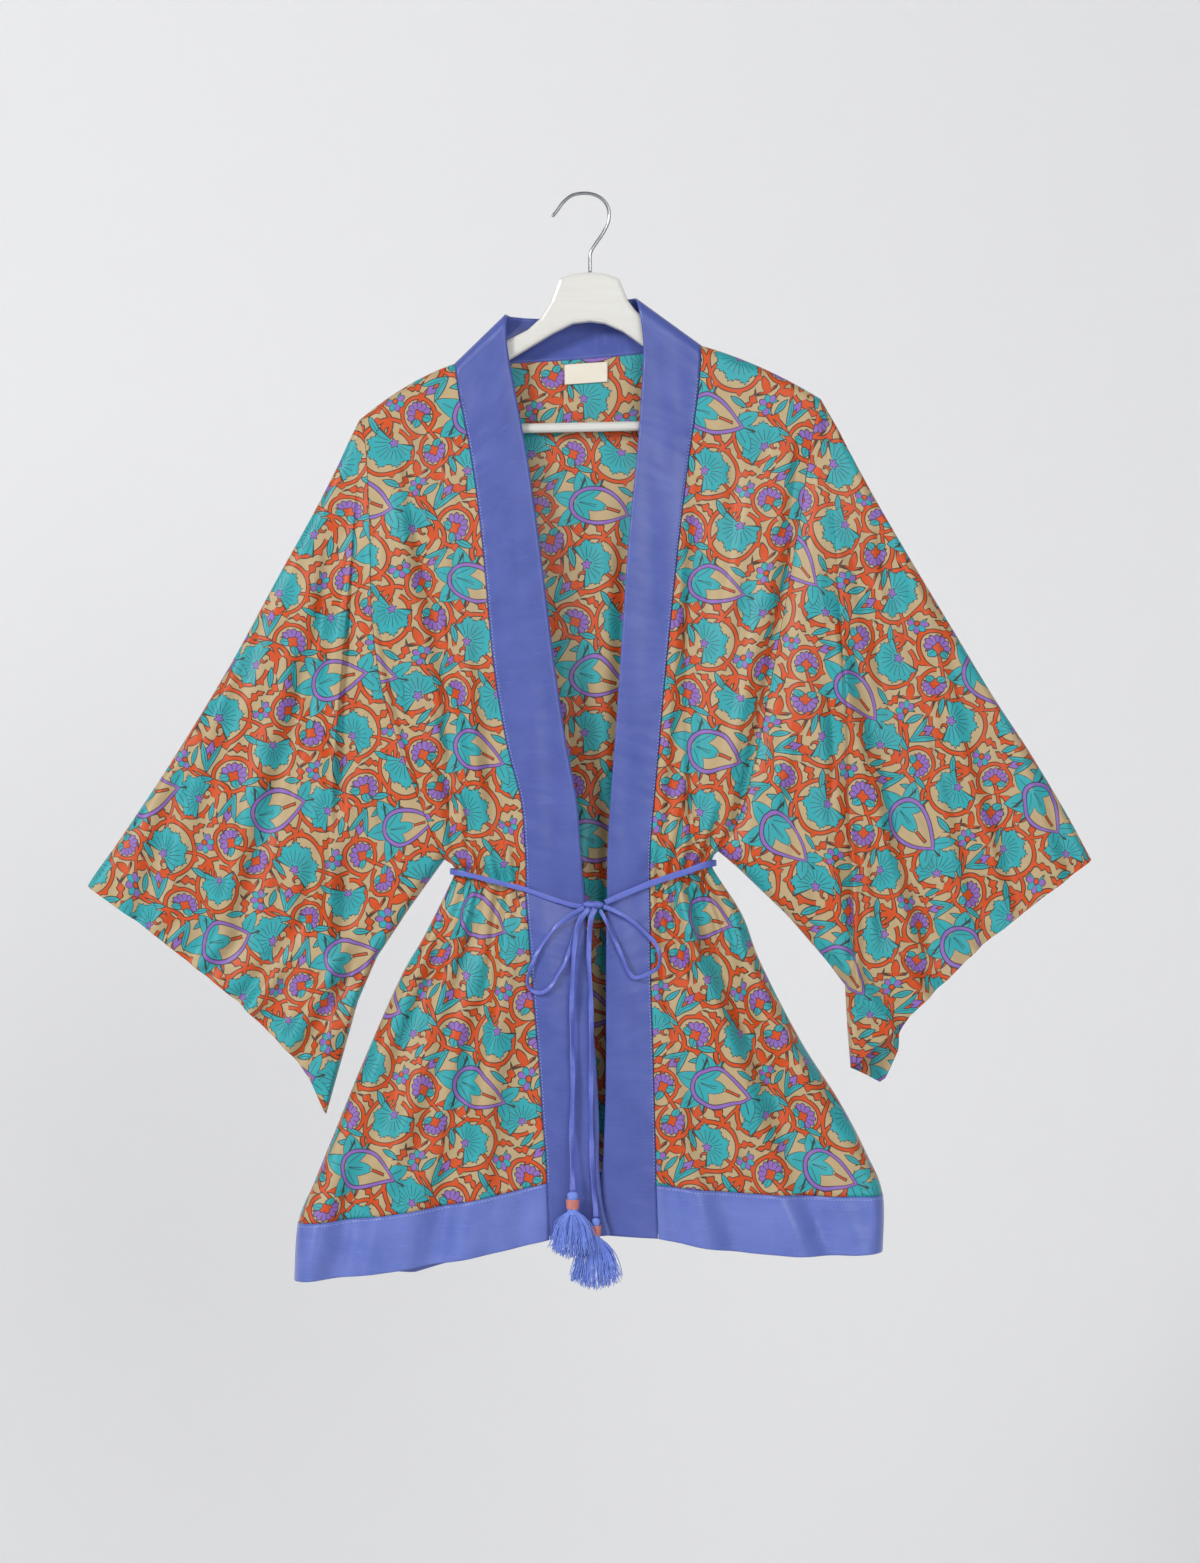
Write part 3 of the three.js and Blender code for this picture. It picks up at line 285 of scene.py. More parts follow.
def folds_at(folds, x, z):
    total = np.zeros(np.broadcast(x, z).shape)
    for top_x, top_z, foot_x, foot_z, bow, wide, deep in folds:
        run = top_z - foot_z
        t = (top_z - z) / run
        fade = smooth((t * run + FOLD_FADE / 2) / FOLD_FADE)
        fade = fade * smooth(((1 - t) * run + FOLD_FADE / 2) / FOLD_FADE)
        line_x = mix(top_x, foot_x, t) + bow * 4 * clamp01(t) * (1 - clamp01(t))
        off = (x - line_x) / wide
        total += np.where(np.abs(off) < 3, deep * fade * bell(off), 0)
    return total


def belt_at(x, layer):
    return np.interp(x, BELT_LINE["x"], BELT_LINE[layer])


def body_half(x, z, layer):
    pinch = BELT_PINCH * bell((z - belt_at(x, layer)) / BELT_PINCH_REACH)
    return np.interp(-z, -BODY_DEPTH["z"], BODY_DEPTH["half"]) - pinch


def gathers_at(u, x, z, layer, waves):
    line = belt_at(x, layer)
    strength = bell((z - line) / np.where(z < line, 110, 45))
    return GATHER_DEEP * strength * np.cos(2 * np.pi * waves * u) * smooth(u / 0.12) * smooth((1 - u) / 0.12)


def side_way(rows, point, v):
    side = column(rows, "side", v)
    last = column(rows, "side", np.full(np.shape(v), float(LAST_ARM_ROW)))
    past = np.where(v < LAST_ARM_ROW, dist(side, last), 0)
    return np.hypot(dist(point, side), past)


# Small creases that only the thin cloth shows, in the same columns as the folds.
FINE_CREASES = [
    [-196, -250, -150, -330, 4, 4, 1.1], [-176, -262, -146, -420, -6, 5, 1.2],
    [-140, -300, -120, -520, 5, 5, 1.1], [-200, -330, -186, -470, -4, 5, -1.0],
    [-166, -470, -120, -600, 4, 4, 1.3], [-150, -560, -110, -668, 3, 4, 1.5],
    [-118, -600, -104, -672, 0, 3.5, 1.4], [-84, -610, -78, -674, 0, 3.5, 1.2],
    [-72, -640, -66, -684, 0, 3, 1.0], [-120, -682, -150, -760, -3, 4, 1.6],
    [-104, -686, -118, -760, 0, 4, 1.4], [-88, -690, -96, -790, 2, 4, 1.5],
    [-72, -694, -74, -780, 0, 3.5, 1.2], [-140, -760, -190, -880, -6, 5, 1.2],
    [-110, -800, -140, -940, 4, 6, 1.0], [-76, -790, -96, -900, 3, 5, 1.0],
    [-196, -860, -236, -960, 4, 6, 1.1], [-60, -900, -64, -980, 0, 5, 0.9],
    [214, -244, 190, -360, 6, 4, 1.2], [190, -236, 168, -340, -4, 5, 1.0],
    [150, -270, 140, -400, 4, 5, 1.0], [206, -330, 176, -470, 8, 4, 1.4],
    [180, -420, 150, -560, 5, 5, 1.2], [124, -380, 112, -520, -4, 5, 1.1],
    [160, -540, 124, -650, 4, 4, 1.5], [140, -590, 116, -664, 3, 3.5, 1.5],
    [100, -600, 94, -676, 0, 3.5, 1.3], [86, -620, 80, -682, 0, 3, 1.1],
    [118, -680, 146, -760, 4, 4, 1.6], [104, -686, 120, -770, 2, 4, 1.4], [90, -690, 98, -790, 0, 4, 1.4],
    [80, -694, 82, -770, 0, 3.5, 1.1], [150, -760, 196, -870, -6, 5, 1.3],
    [176, -790, 232, -900, 5, 5, 1.2], [120, -800, 140, -930, 4, 6, 1.0],
    [210, -880, 256, -960, 4, 6, 1.1], [103, -380, 106, -656, 0, 4, 1.3],
    [106, -575, 109, -662, 0, 3, 1.9], [118, -690, 138, -770, 0, 3, 2.0],
    [-138, -490, -131, -655, 0, 4, 1.5], [-116, -625, -114, -672, 0, 3, 1.9],
    [207, -370, 176, -520, 0, 4, 1.5], [-104, -690, -122, -770, 0, 3, 1.6],
    [-96, -300, -88, -520, 4, 5, 1.2], [-156, -640, -150, -560, 0, 4, 1.0],
]
CREASE_GAIN = 2.0
CREASE_GAIN_BEHIND = 0.6
FINE_SHARE_BEHIND = 0.8
DRAPE_GAIN = 1.5
SKIRT_APEX = 302
CHEST_APEX = 635
# Two waves of soft folds each: how deep they are, how often they come and where they begin.
SKIRT_WAVES = ((3.0, 8.6, 1.0), (1.7, 14.3, 2.2))
CHEST_WAVES = ((1.7, 17.0, 0.7), (1.1, 29.0, 2.0))
ARM_WAVES = ((2.3, 1 / 54, 0.6), (1.4, 1 / 33, 2.4))
ARM_TOP = 230
ARM_SPREAD = 0.24
BELT_CLEAR = 14
BACK_TURN = 1.9
LEFT_LEAN = 0.9
SLEEVE_CREASES = [
    [-252, -330, -262, -560, -5, 6, 1.2], [-284, -420, -300, -640, 6, 7, 1.0],
    [-330, -520, -362, -700, -6, 8, 1.0], [-262, -560, -270, -800, 5, 6, 1.3],
    [-300, -640, -296, -800, -4, 7, 1.1], [-390, -600, -420, -700, 3, 8, 0.8],
    [-238, -420, -226, -640, 4, 5, 1.0], [-214, -560, -190, -700, 3, 5, 1.1],
    [-180, -600, -160, -680, 0, 4, 1.1], [272, -300, 296, -470, 6, 6, 1.3],
    [296, -340, 330, -520, -6, 6, 1.1], [320, -480, 352, -700, 8, 8, 1.2],
    [286, -520, 300, -760, -6, 6, 1.3], [272, -640, 280, -820, 4, 5, 1.2],
    [380, -540, 430, -680, 5, 8, 0.9], [244, -420, 246, -620, 4, 5, 1.1],
    [214, -560, 206, -690, 3, 5, 1.1], [184, -600, 166, -670, 0, 4, 1.1],
]


RIPPLES = [[95, 0.9], [60, 0.55], [38, 0.32], [24, 0.2]]
RIPPLES_OF_A_LENGTH = 3
RIPPLE_SHARE = 1.7
RIPPLE_LEAN = 0.45
RIPPLE_STEEP = 0.35


def ripples(x, z, seed):
    """A gentle unevenness of hung cloth, the same each run."""
    rng = np.random.default_rng(seed)
    total = np.zeros(np.broadcast(x, z).shape)
    for length, deep in RIPPLES:
        for _ in range(RIPPLES_OF_A_LENGTH):
            lean = rng.uniform(-RIPPLE_LEAN, RIPPLE_LEAN)
            phase = rng.uniform(0, 2 * np.pi)
            along = x * np.cos(lean) + RIPPLE_STEEP * z * np.sin(lean)
            total += deep / RIPPLE_SHARE * np.sin(2 * np.pi * along / length + phase)
    return total


def two_waves(waves, way, first, second):
    (deep_a, often_a, start_a), (deep_b, often_b, start_b) = waves
    broad = deep_a * np.sin(often_a * way + start_a + first)
    return broad + deep_b * np.sin(often_b * way + start_b + second)


def drape(x, z, layer):
    """The soft folds of hung cloth: fanned from the waist, over the chest and down the sleeves."""
    waist = belt_at(x, layer)
    turn = {"front": 0, "back": BACK_TURN}[layer]
    side = np.abs(x)
    lean = np.where(x < 0, LEFT_LEAN, 0)
    fan = 2 * np.pi * x / np.maximum(waist - z + SKIRT_APEX, 1)
    skirt = two_waves(SKIRT_WAVES, fan, turn, lean + z / 140)
    fan = 2 * np.pi * x / (z - waist + CHEST_APEX)
    chest = two_waves(CHEST_WAVES, fan, turn, lean + z / 160)
    along = 2 * np.pi * (side - ARM_SPREAD * (-z - ARM_TOP))
    arm = two_waves(ARM_WAVES, along, turn + lean, z / 150 - lean)
    below_belt = smooth((waist - z - BELT_CLEAR) / 130)
    above_belt = smooth((z - waist - BELT_CLEAR) / 80)
    below_yoke = smooth((-z - 250) / 130)
    on_body = 1 - smooth((side - 190) / 40)
    below_shoulder = smooth((-z - 270) / 160)
    on_arm = smooth((side - 205) / 60)
    above_tip = smooth((z + 830) / 120)
    return DRAPE_GAIN * (skirt * below_belt + chest * below_yoke * above_belt * on_body
                         + arm * below_shoulder * on_arm * above_tip)


def front_surface(rows):
    def surface(u, v):
        point = front_point(rows, u, v)
        x, z = point
        top = openness(dist(point, front_point(rows, u, np.zeros_like(v))), TOP_ROUND)
        open_ = top * openness(side_way(rows, point, v), SIDE_ROUND)
        fine = CREASE_GAIN * folds_at(FINE_CREASES, x, z) + ripples(x, z, 3) + drape(x, z, "front")
        fine = fine * smooth(u / 0.08) * smooth((1 - u) / 0.12)
        folds = folds_at(FRONT_FOLDS, x, z) + fine
        depth = body_half(x, z, "front") - folds - gathers_at(u, x, z, "front", GATHERS)
        return joined(x, -FOLD_GAP - open_ * depth, z)

    return surface


def neck_z(x):
    left, right = LEFT_FRONT["seamX"][0], RIGHT_FRONT["seamX"][0]
    t = (x - left) / (right - left)
    return mix(LEFT_FRONT["seamZ"][0], RIGHT_FRONT["seamZ"][0], t) - NECK_SAG * 4 * t * (1 - t)


def back_top(u):
    """The back's upper edge: two shoulders and the neck between them."""
    left, right = LEFT_FRONT["seamX"][0], RIGHT_FRONT["seamX"][0]
    x = mix(LEFT_FRONT["sideX"][0], RIGHT_FRONT["sideX"][0], u)
    corner = np.minimum(x - left, right - x)
    z = neck_z(x) - SEAM_GAP - 1.2 * bell(corner / 12)
    out_x = x
    for rows in (LEFT_FRONT, RIGHT_FRONT):
        across = (x - rows["sideX"][0]) / (rows["seamX"][0] - rows["sideX"][0])
        on_shoulder = (across >= 0) & (across <= 1)
        px, pz = front_point(rows, across, np.zeros_like(x))
        out_x = np.where(on_shoulder, px, out_x)
        z = np.where(on_shoulder, pz, z)
    return out_x, z


def back_point(u, v):
    left = column(LEFT_FRONT, "side", v)
    right = column(RIGHT_FRONT, "side", v)
    top = back_top(u)
    straight = mix(LEFT_FRONT["sideZ"][0], RIGHT_FRONT["sideZ"][0], u)
    rise = (top[1] - straight) * (1 - clamp01(v / 8)) ** 1.5
    dip = np.interp(u, BACK_DIP["u"], BACK_DIP["dip"]) * smooth((v - 12) / 5)
    return mix(left[0], right[0], u), mix(left[1], right[1], u) + rise - dip


def back_surface(u, v):
    point = back_point(u, v)
    x, z = point
    top = back_top(u)
    corner = np.maximum(0, np.minimum(top[0] - LEFT_FRONT["seamX"][0], RIGHT_FRONT["seamX"][0] - top[0]))
    open_ = openness(np.hypot(dist(point, top), corner), TOP_ROUND)
    for rows in (LEFT_FRONT, RIGHT_FRONT):
        open_ = open_ * openness(side_way(rows, point, v), SIDE_ROUND)
    fine = ripples(x, z, 8) + drape(x, z, "back")
    fine = fine * smooth(u / 0.05) * smooth((1 - u) / 0.05) * smooth((v - 0.5) / 2)
    gathers = gathers_at(u, x, z, "back", 2 * GATHERS)
    depth = body_half(x, z, "back") + folds_at(BACK_FOLDS, x, z) + gathers + fine
    return joined(x, FOLD_GAP + open_ * depth, z)


def sleeve_surface(rows, top_fold, far, name, layer):
    """A sleeve between its top fold (u = 0) and the armhole (u = 1), fanned out from the shoulder."""
    edge, inner = KNIFE[name]
    toward = np.sign(rows["sideX"][0])
    last = float(LAST_ARM_ROW)
    zero = np.array(0.0)
    first_arm = column(rows, "side", zero)
    last_arm = column(rows, "side", np.array(last))
    front = layer == "front"

    def gap(v):
        return ARM_GAP + ARM_GAP_MORE * (v / last) ** 6

    def far_point(u):
        return (np.interp(u, far["u"], far["x" if front else "backX"]),
                np.interp(u, far["u"], far["z" if front else "backZ"]))

    def flat(u, v):
        arm = column(rows, "side", v)
        g = dist(arm, first_arm) / dist(last_arm, first_arm)
        outer = at_row(top_fold, "x", v), at_row(top_fold, "z", v)
        arm = arm[0] + toward * gap(v), arm[1]
        ends = ((first_arm[0] + toward * gap(0), first_arm[1]),
                (last_arm[0] + toward * gap(last), last_arm[1]))
        starts = top_fold["x"][0], top_fold["z"][0]
        from_knife = clamp01((u - edge) / (inner - edge))
        inside = np.where(u > inner, (1 - u) / (1 - inner), 2 * from_knife - 1)
        aside = np.where(u < edge, -u / edge, inside)
        start_u = u + KNIFE_PARTING * aside
        far_outer = far_point(zero)
        far_here = far_point(u)
        far_here = far_here[0] + toward * gap(last) * u, far_here[1]
        fall = 0
        if name == "left":
            fall = LEFT_KNIFE_FALL * g * (1 - g**2) * smooth(u / edge) * (1 - from_knife)
        out = []
        for k in (0, 1):
            across = mix(outer[k], arm[k], u)
            down = mix(mix(starts[k], ends[0][k], start_u), far_here[k], g)
            corners = mix(mix(starts[k], ends[0][k], u), mix(far_outer[k], ends[1][k], u), g)
            out.append(across + down - corners + (fall if k == 0 else 0))
        return out[0], out[1], g

    def surface(u, v):
        x, z, g = flat(u, v)
        start = openness(dist((x, z), flat(u, np.zeros_like(v))[:2]), TOP_ROUND)
        outer = openness(dist((x, z), flat(np.zeros_like(u), v)[:2]), SIDE_ROUND)
        beyond = np.where(u < edge, dist(far_point(u), far_point(np.array(edge))), 0)
        under = openness(np.hypot(dist((x, z), flat(u, np.full_like(v, last))[:2]), beyond), SIDE_ROUND)
        arm_half = body_half(*column(rows, "side", v), layer)
        half = mix(SLEEVE_DEPTH, arm_half, smooth((u - ARM_SHARE) / (1 - ARM_SHARE)))
        over = np.where(u <= edge, bell((edge - u) / KNIFE_SPREAD), 1 - smooth((u - edge) / (inner - edge)))
        grow = smooth(g / 0.5)
        lift = (KNIFE_LIFT if front else KNIFE_LIFT_BEHIND) * grow * over
        sign = -1 if front else 1
        fine = folds_at(SLEEVE_CREASES, x, z) * (CREASE_GAIN if front else CREASE_GAIN_BEHIND)
        fine = fine + ripples(x, z, 5 if front else 6)
        fine = (fine + drape(x, z, layer)) * smooth(u / 0.06) * smooth((1 - u) / 0.08)
        folds = folds_at(FRONT_FOLDS if front else BACK_FOLDS, x, z) * sign
        if front:
            folds = folds - fine
            shift = -lift
        else:
            folds = folds + FINE_SHARE_BEHIND * fine
            shift = -KNIFE_LIFT_CLOSED * grow * over + lift
        closed = -KNIFE_LIFT_CLOSED * grow * over * start * outer * (1 - under)
        y = sign * SLEEVE_FOLD_GAP + start * outer * under * (sign * half + sign * folds + shift) + closed
        return joined(x, y, z)

    return surface


# Meshes.

def grid_of(surface, us, vs):
    u, v = np.meshgrid(us, vs)
    return surface(u, v)


def unit(a):
    return a / np.maximum(np.linalg.norm(a, axis=-1, keepdims=True), 1e-9)


def grid_normals(grid):
    """The mean of the faces that meet at each point."""
    face = unit(np.cross(grid[1:, 1:] - grid[:-1, :-1], grid[1:, :-1] - grid[:-1, 1:]))
    total = np.zeros_like(grid)
    total[:-1, :-1] += face
    total[:-1, 1:] += face
    total[1:, :-1] += face
    total[1:, 1:] += face
    return unit(total)


def lengths_along(grid, axis):
    step = np.linalg.norm(np.diff(grid, axis=axis), axis=-1)
    total = np.cumsum(step, axis=axis)
    pad = [(0, 0), (0, 0)]
    pad[axis] = (1, 0)
    return np.pad(total, pad)


def cloth_uv(grid, turn=0.0):
    """Places on the flat cloth in metres: where it hangs, plus the cloth that its folds take up."""
    flat = grid[..., [0, 2]]
    wide = grid.copy()
    wide[..., 1] = 0
    across = lengths_along(grid, 1) - lengths_along(wide, 1)
    down = lengths_along(grid, 0) - lengths_along(wide, 0)
    way = np.sign(grid[:, -1:, 0] - grid[:, :1, 0])
    x = flat[..., 0] + way * (across - across.mean(axis=1, keepdims=True))
    z = flat[..., 1] - down
    c, s = math.cos(turn), math.sin(turn)
    return joined(x * c + z * s, z * c - x * s) * MM


class Skin:
    """Points, faces and cloth places of one mesh."""

    def __init__(self):
        self.points = []
        self.places = []
        self.faces = []
        self.count = 0

    def grid(self, points, places=None):
        ids = self.count + np.arange(points[..., 0].size).reshape(points.shape[:-1])
        self.count += ids.size
        self.points.append(points.reshape(-1, 3))
        places = np.zeros((*points.shape[:-1], 2)) if places is None else places
        self.places.append(places.reshape(-1, 2))
        return ids

    def cover(self, ids, flipped=False):
        quads = np.stack([ids[:-1, :-1], ids[:-1, 1:], ids[1:, 1:], ids[1:, :-1]], axis=-1).reshape(-1, 4)
        self.faces.append(quads[:, ::-1] if flipped else quads)

    def quads(self, rows):
        self.faces.append(np.array(rows).reshape(-1, 4))

    def close(self, ids, backwards=False):
        """A flat cap over one ring."""
        ring = list(ids[::-1] if backwards else ids)
        while len(ring) > 4:
            self.quads([ring[0], ring[1], ring[2], ring[3]])
            ring = [ring[0]] + ring[3:]
        self.quads([ring[0], ring[1], ring[2], ring[-1]])


def add_object(name, data):
    obj = bpy.data.objects.new(name, data)
    bpy.context.scene.collection.objects.link(obj)
    return obj


def make(name, skin, material):
    """A Blender mesh object, in metres, facing outwards."""
    points = np.concatenate(skin.points) * MM
    faces = np.concatenate(skin.faces)
    a, b, c, d = (points[faces[:, k]] for k in range(4))
    volume = (np.cross(b, c) * a).sum() + (np.cross(c, d) * a).sum()
    if volume < 0:
        faces = faces[:, ::-1]
    mesh = bpy.data.meshes.new(name)
    mesh.from_pydata(points.tolist(), [], [list(dict.fromkeys(face)) for face in faces.tolist()])
    layer = mesh.uv_layers.new(name="cloth")
    corners = np.empty(len(mesh.loops), dtype=np.int32)
    mesh.loops.foreach_get("vertex_index", corners)
    layer.data.foreach_set("uv", np.concatenate(skin.places)[corners].astype(np.float32).ravel())
    mesh.polygons.foreach_set("use_smooth", np.full(len(mesh.polygons), True))
    mesh.materials.append(material)
    return add_object(name, mesh)


def edge_loop(rows, columns):
    loop = [(0, c) for c in range(columns - 1)]
    loop += [(r, columns - 1) for r in range(rows - 1)]
    loop += [(rows - 1, c) for c in range(columns - 1, 0, -1)]
    loop += [(r, 0) for r in range(rows - 1, 0, -1)]
    return loop


def wall(grid, thick, places=None):
    """One layer of cloth as a closed thin wall."""
    normals = grid_normals(grid)
    places = cloth_uv(grid) if places is None else places
    skin = Skin()
    outer = skin.grid(grid + normals * thick / 2, places)
    inner = skin.grid(grid - normals * thick / 2, places)
    skin.cover(outer)
    skin.cover(inner, flipped=True)
    loop = edge_loop(*outer.shape)
    rim = [(outer[q], outer[p], inner[p], inner[q]) for p, q in zip(loop, loop[1:] + loop[:1])]
    skin.quads(rim)
    return skin


INSIDE = (20, 20)


def pouch(front, back, thick, is_closed, turn):
    """Two layers joined along their closed edges and apart at their open ones."""
    skin = Skin()
    half = thick / 2
    normals = grid_normals(front), grid_normals(back)
    facing = 1 if normals[0][INSIDE][1] < 0 else -1
    places = cloth_uv(front, turn), cloth_uv(back, turn)
    fo = skin.grid(front + normals[0] * facing * half, places[0])
    fi = skin.grid(front - normals[0] * facing * half, places[0])
    bi = skin.grid(back + normals[1] * facing * half, places[1])
    bo = skin.grid(back - normals[1] * facing * half, places[1])
    for ids, flipped in ((fo, False), (fi, True), (bi, False), (bo, True)):
        skin.cover(ids, flipped)
    loop = edge_loop(*fo.shape)
    follow = loop[1:] + loop[:1]
    closed = [is_closed(p, q) for p, q in zip(loop, follow)]
    rim = []
    for k, (p, q) in enumerate(zip(loop, follow)):
        if closed[k]:
            rim += [(fo[q], fo[p], bo[p], bo[q]), (bi[q], bi[p], fi[p], fi[q])]
        else:
            rim += [(fo[q], fo[p], fi[p], fi[q]), (bi[q], bi[p], bo[p], bo[q])]
        if closed[k - 1] and not closed[k]:
            rim.append((fo[p], bo[p], bi[p], fi[p]))
        if closed[k] and not closed[k - 1]:
            rim.append((fo[p], fi[p], bi[p], bo[p]))
    skin.quads(rim)
    return skin


STEPS_A_SPAN = 24


def smooth_line(points, steps):
    """Evenly spaced points on a smooth curve through the given ones."""
    p = np.array(points, float)
    p = np.vstack([2 * p[0] - p[1], p, 2 * p[-1] - p[-2]])
    t = np.linspace(0, 1, STEPS_A_SPAN, endpoint=False)[:, None]
    parts = []
    for k in range(1, len(p) - 2):
        p0, p1, p2, p3 = p[k - 1 : k + 3]
        parts.append(0.5 * (2 * p1 + (p2 - p0) * t + (2 * p0 - 5 * p1 + 4 * p2 - p3) * t**2
                            + (3 * p1 - p0 - 3 * p2 + p3) * t**3))
    line = np.vstack([*parts, p[-2:-1]])
    way = way_along(line)
    at = np.linspace(0, way[-1], steps + 1)
    return joined(*(np.interp(at, way, line[:, k]) for k in range(3)))


def strap(skin, line, faces, wide, thick, sides=12, square=2.6):
    """A flat sewn tube along a line; faces is the way its flat side looks."""
    along = unit(np.gradient(line, axis=0))
    up = unit(np.cross(along, faces))
    out = unit(np.cross(up, along))
    angle = 2 * np.pi * (np.arange(sides) + 0.5) / sides
    cos, sin = np.cos(angle), np.sin(angle)
    cos = np.sign(cos) * np.abs(cos) ** (2 / square)
    sin = np.sign(sin) * np.abs(sin) ** (2 / square)
    wide = np.broadcast_to(wide, len(line))[:, None, None]
    thick = np.broadcast_to(thick, len(line))[:, None, None]
    rings = line[:, None] + up[:, None] * cos[None, :, None] * wide / 2
    rings = rings + out[:, None] * sin[None, :, None] * thick / 2
    way = way_along(line)
    places = joined(angle[None] * wide[:, :, 0] / 4, way[:, None]) * MM
    ids = skin.grid(rings, places)
    ids = np.hstack([ids, ids[:, :1]])
    skin.cover(ids)
    skin.close(ids[0, :-1], backwards=True)
    skin.close(ids[-1, :-1])
    return skin


# Materials.

class Num:
    """A number worked out by shader nodes, written like arithmetic."""

    def __init__(self, tree, socket):
        self.tree = tree
        self.socket = socket

    def math(self, operation, *others):
        node = self.tree.nodes.new("ShaderNodeMath")
        node.operation = operation
        for slot, value in zip(node.inputs, (self, *others)):
            feed(self.tree, slot, value)
        return Num(self.tree, node.outputs[0])

    def __add__(self, other):
        return self.math("ADD", other)

    __radd__ = __add__

    def __mul__(self, other):
        return self.math("MULTIPLY", other)

    __rmul__ = __mul__

    def __sub__(self, other):
        return self.math("SUBTRACT", other)

    def __rsub__(self, other):
        return self.scaled(-1, other)

    def __truediv__(self, other):
        return self.math("DIVIDE", other)

    def __neg__(self):
        return self * -1

    def __abs__(self):
        return self.math("ABSOLUTE")

    def scaled(self, factor, more):
        """A product and a sum in one node."""
        return self.math("MULTIPLY_ADD", factor, more)

    def less(self, other):
        return self.math("LESS_THAN", other)

    def low(self, other):
        return self.math("MINIMUM", other)

    def high(self, other):
        return self.math("MAXIMUM", other)

    def cos(self):
        return self.math("COSINE")

    def sin(self):
        return self.math("SINE")

    def saw(self, size):
        """0 at each even multiple of size, rising to size at the odd ones."""
        return self.math("PINGPONG", size)


BEIGE, ORANGE, TURQUOISE, PURPLE = 0, 1, 2, 3
TILE_WIDE = 116.0
TILE_TALL = 168.0


def polar(x, y):
    """Distance from the origin and the angle from +y."""
    return (x * x + y * y).math("SQRT"), x.math("ARCTAN2", y)


class Canvas:
    """A running pair of numbers: which colour shows, and where a dark line does."""

    def __init__(self, tone, line):
        self.tone = tone
        self.line = line

    def fill(self, d, tone, edge=0.5):
        inside = d.less(0)
        step = self.tone.scaled(-1, tone)
        self.tone = inside.scaled(step, self.tone)
        self.line = (self.line - inside).high(abs(d).less(edge))

    def ink(self, d):
        self.line = self.line.high(d.less(0))


def place(p, centre, turn):
    """Coordinates about the nearest repeat of a motif's centre, turned with it."""
    across = p[0] - centre[0]
    column_ = (across / TILE_WIDE).math("ROUND")
    dx = column_.scaled(-TILE_WIDE, across)
    dy = column_.scaled(-TILE_TALL / 2, p[1] - centre[1])
    dy = dy.math("WRAP", TILE_TALL / 2, -TILE_TALL / 2)
    c, s = math.cos(math.radians(turn)), math.sin(math.radians(turn))
    return dx.scaled(c, dy * s), dy.scaled(c, dx * -s)


def nearest(p, spots):
    """Coordinates about the nearest of several motifs of one kind."""
    best = None
    for centre, turn in spots:
        x, y = place(p, centre, turn)
        far = x.scaled(x, y * y)
        if best:
            closer = far.less(best[2])
            x = closer.scaled(x - best[0], best[0])
            y = closer.scaled(y - best[1], best[1])
            far = far.low(best[2])
        best = x, y, far
    return best[:2]


def vine_ring(r, a, radius, opening, teeth, shift=0.3):
    """A ring of vine that opens like a snail, with thorns outside it."""
    off = r - a.scaled(opening, radius)
    thorn = (a.scaled(teeth, shift).saw(1) - 0.74).high(0) * 14
    return (off - 2 - thorn).high(-off - 2)


def comma(x, y):
    """A curled leaf with a round head."""
    r, a = polar(x, y)
    return abs(r - a.scaled(0.9, 5.2)) - a.scaled(0.5, 1.9)


def palmette(canvas, x, y):
    """A toothed fan with dark ribs and a small heart."""
    r, a = polar(x, y + 8)
    side = abs(a)
    points = (a * 3.1).saw(1)
    teeth = (a * 12.4).saw(1)
    fan = points.scaled(4.2, r) + teeth * 1.9 + side * side * 1.4 - 27
    fan = fan.high((side - 1.95) * 10)
    canvas.fill(fan, TURQUOISE)
    canvas.ink(((a * 6.2).saw(1) * r * 0.16 - 0.28).high(abs(r - 12) - 5.5).high(fan))
    canvas.fill(r - 3.7 - (a * 5).cos() * 1.2, PURPLE)


def bloom(canvas, x, y):
    """A scalloped half flower over two leaves."""
    side = abs(x)
    s = side * 0.8 - y * 0.6
    t = side * 0.6 + y * 0.8
    leaf = abs(t) - s * (s * -0.075 + 1) * 1.35
    canvas.fill(leaf, TURQUOISE)
    canvas.ink((abs(t) - 0.28).high(abs(s - 6.8) - 4.6))
    r, a = polar(x, y)
    lobes = abs((a * 6.4).cos())
    head = (r - 11.4 - lobes * 2).high((abs(a) - 1.85) * 9)
    canvas.fill(head, PURPLE)
    canvas.ink((lobes - 0.22).high(abs(r - 9.6) - 3).high(head))
    canvas.fill(r - 3.4 - abs((a * 2).cos()) * 2.4, ORANGE)


def blade_fan(canvas, r, blades, deep, size, sector, rib, middle, half):
    """A fan of blades within a sector, with dark ribs about a middle radius."""
    fan = (blades.scaled(deep, r) - size).high(sector)
    canvas.fill(fan, TURQUOISE)
    canvas.ink((blades * r * rib - 0.3).high(abs(r - middle) - half).high(fan))


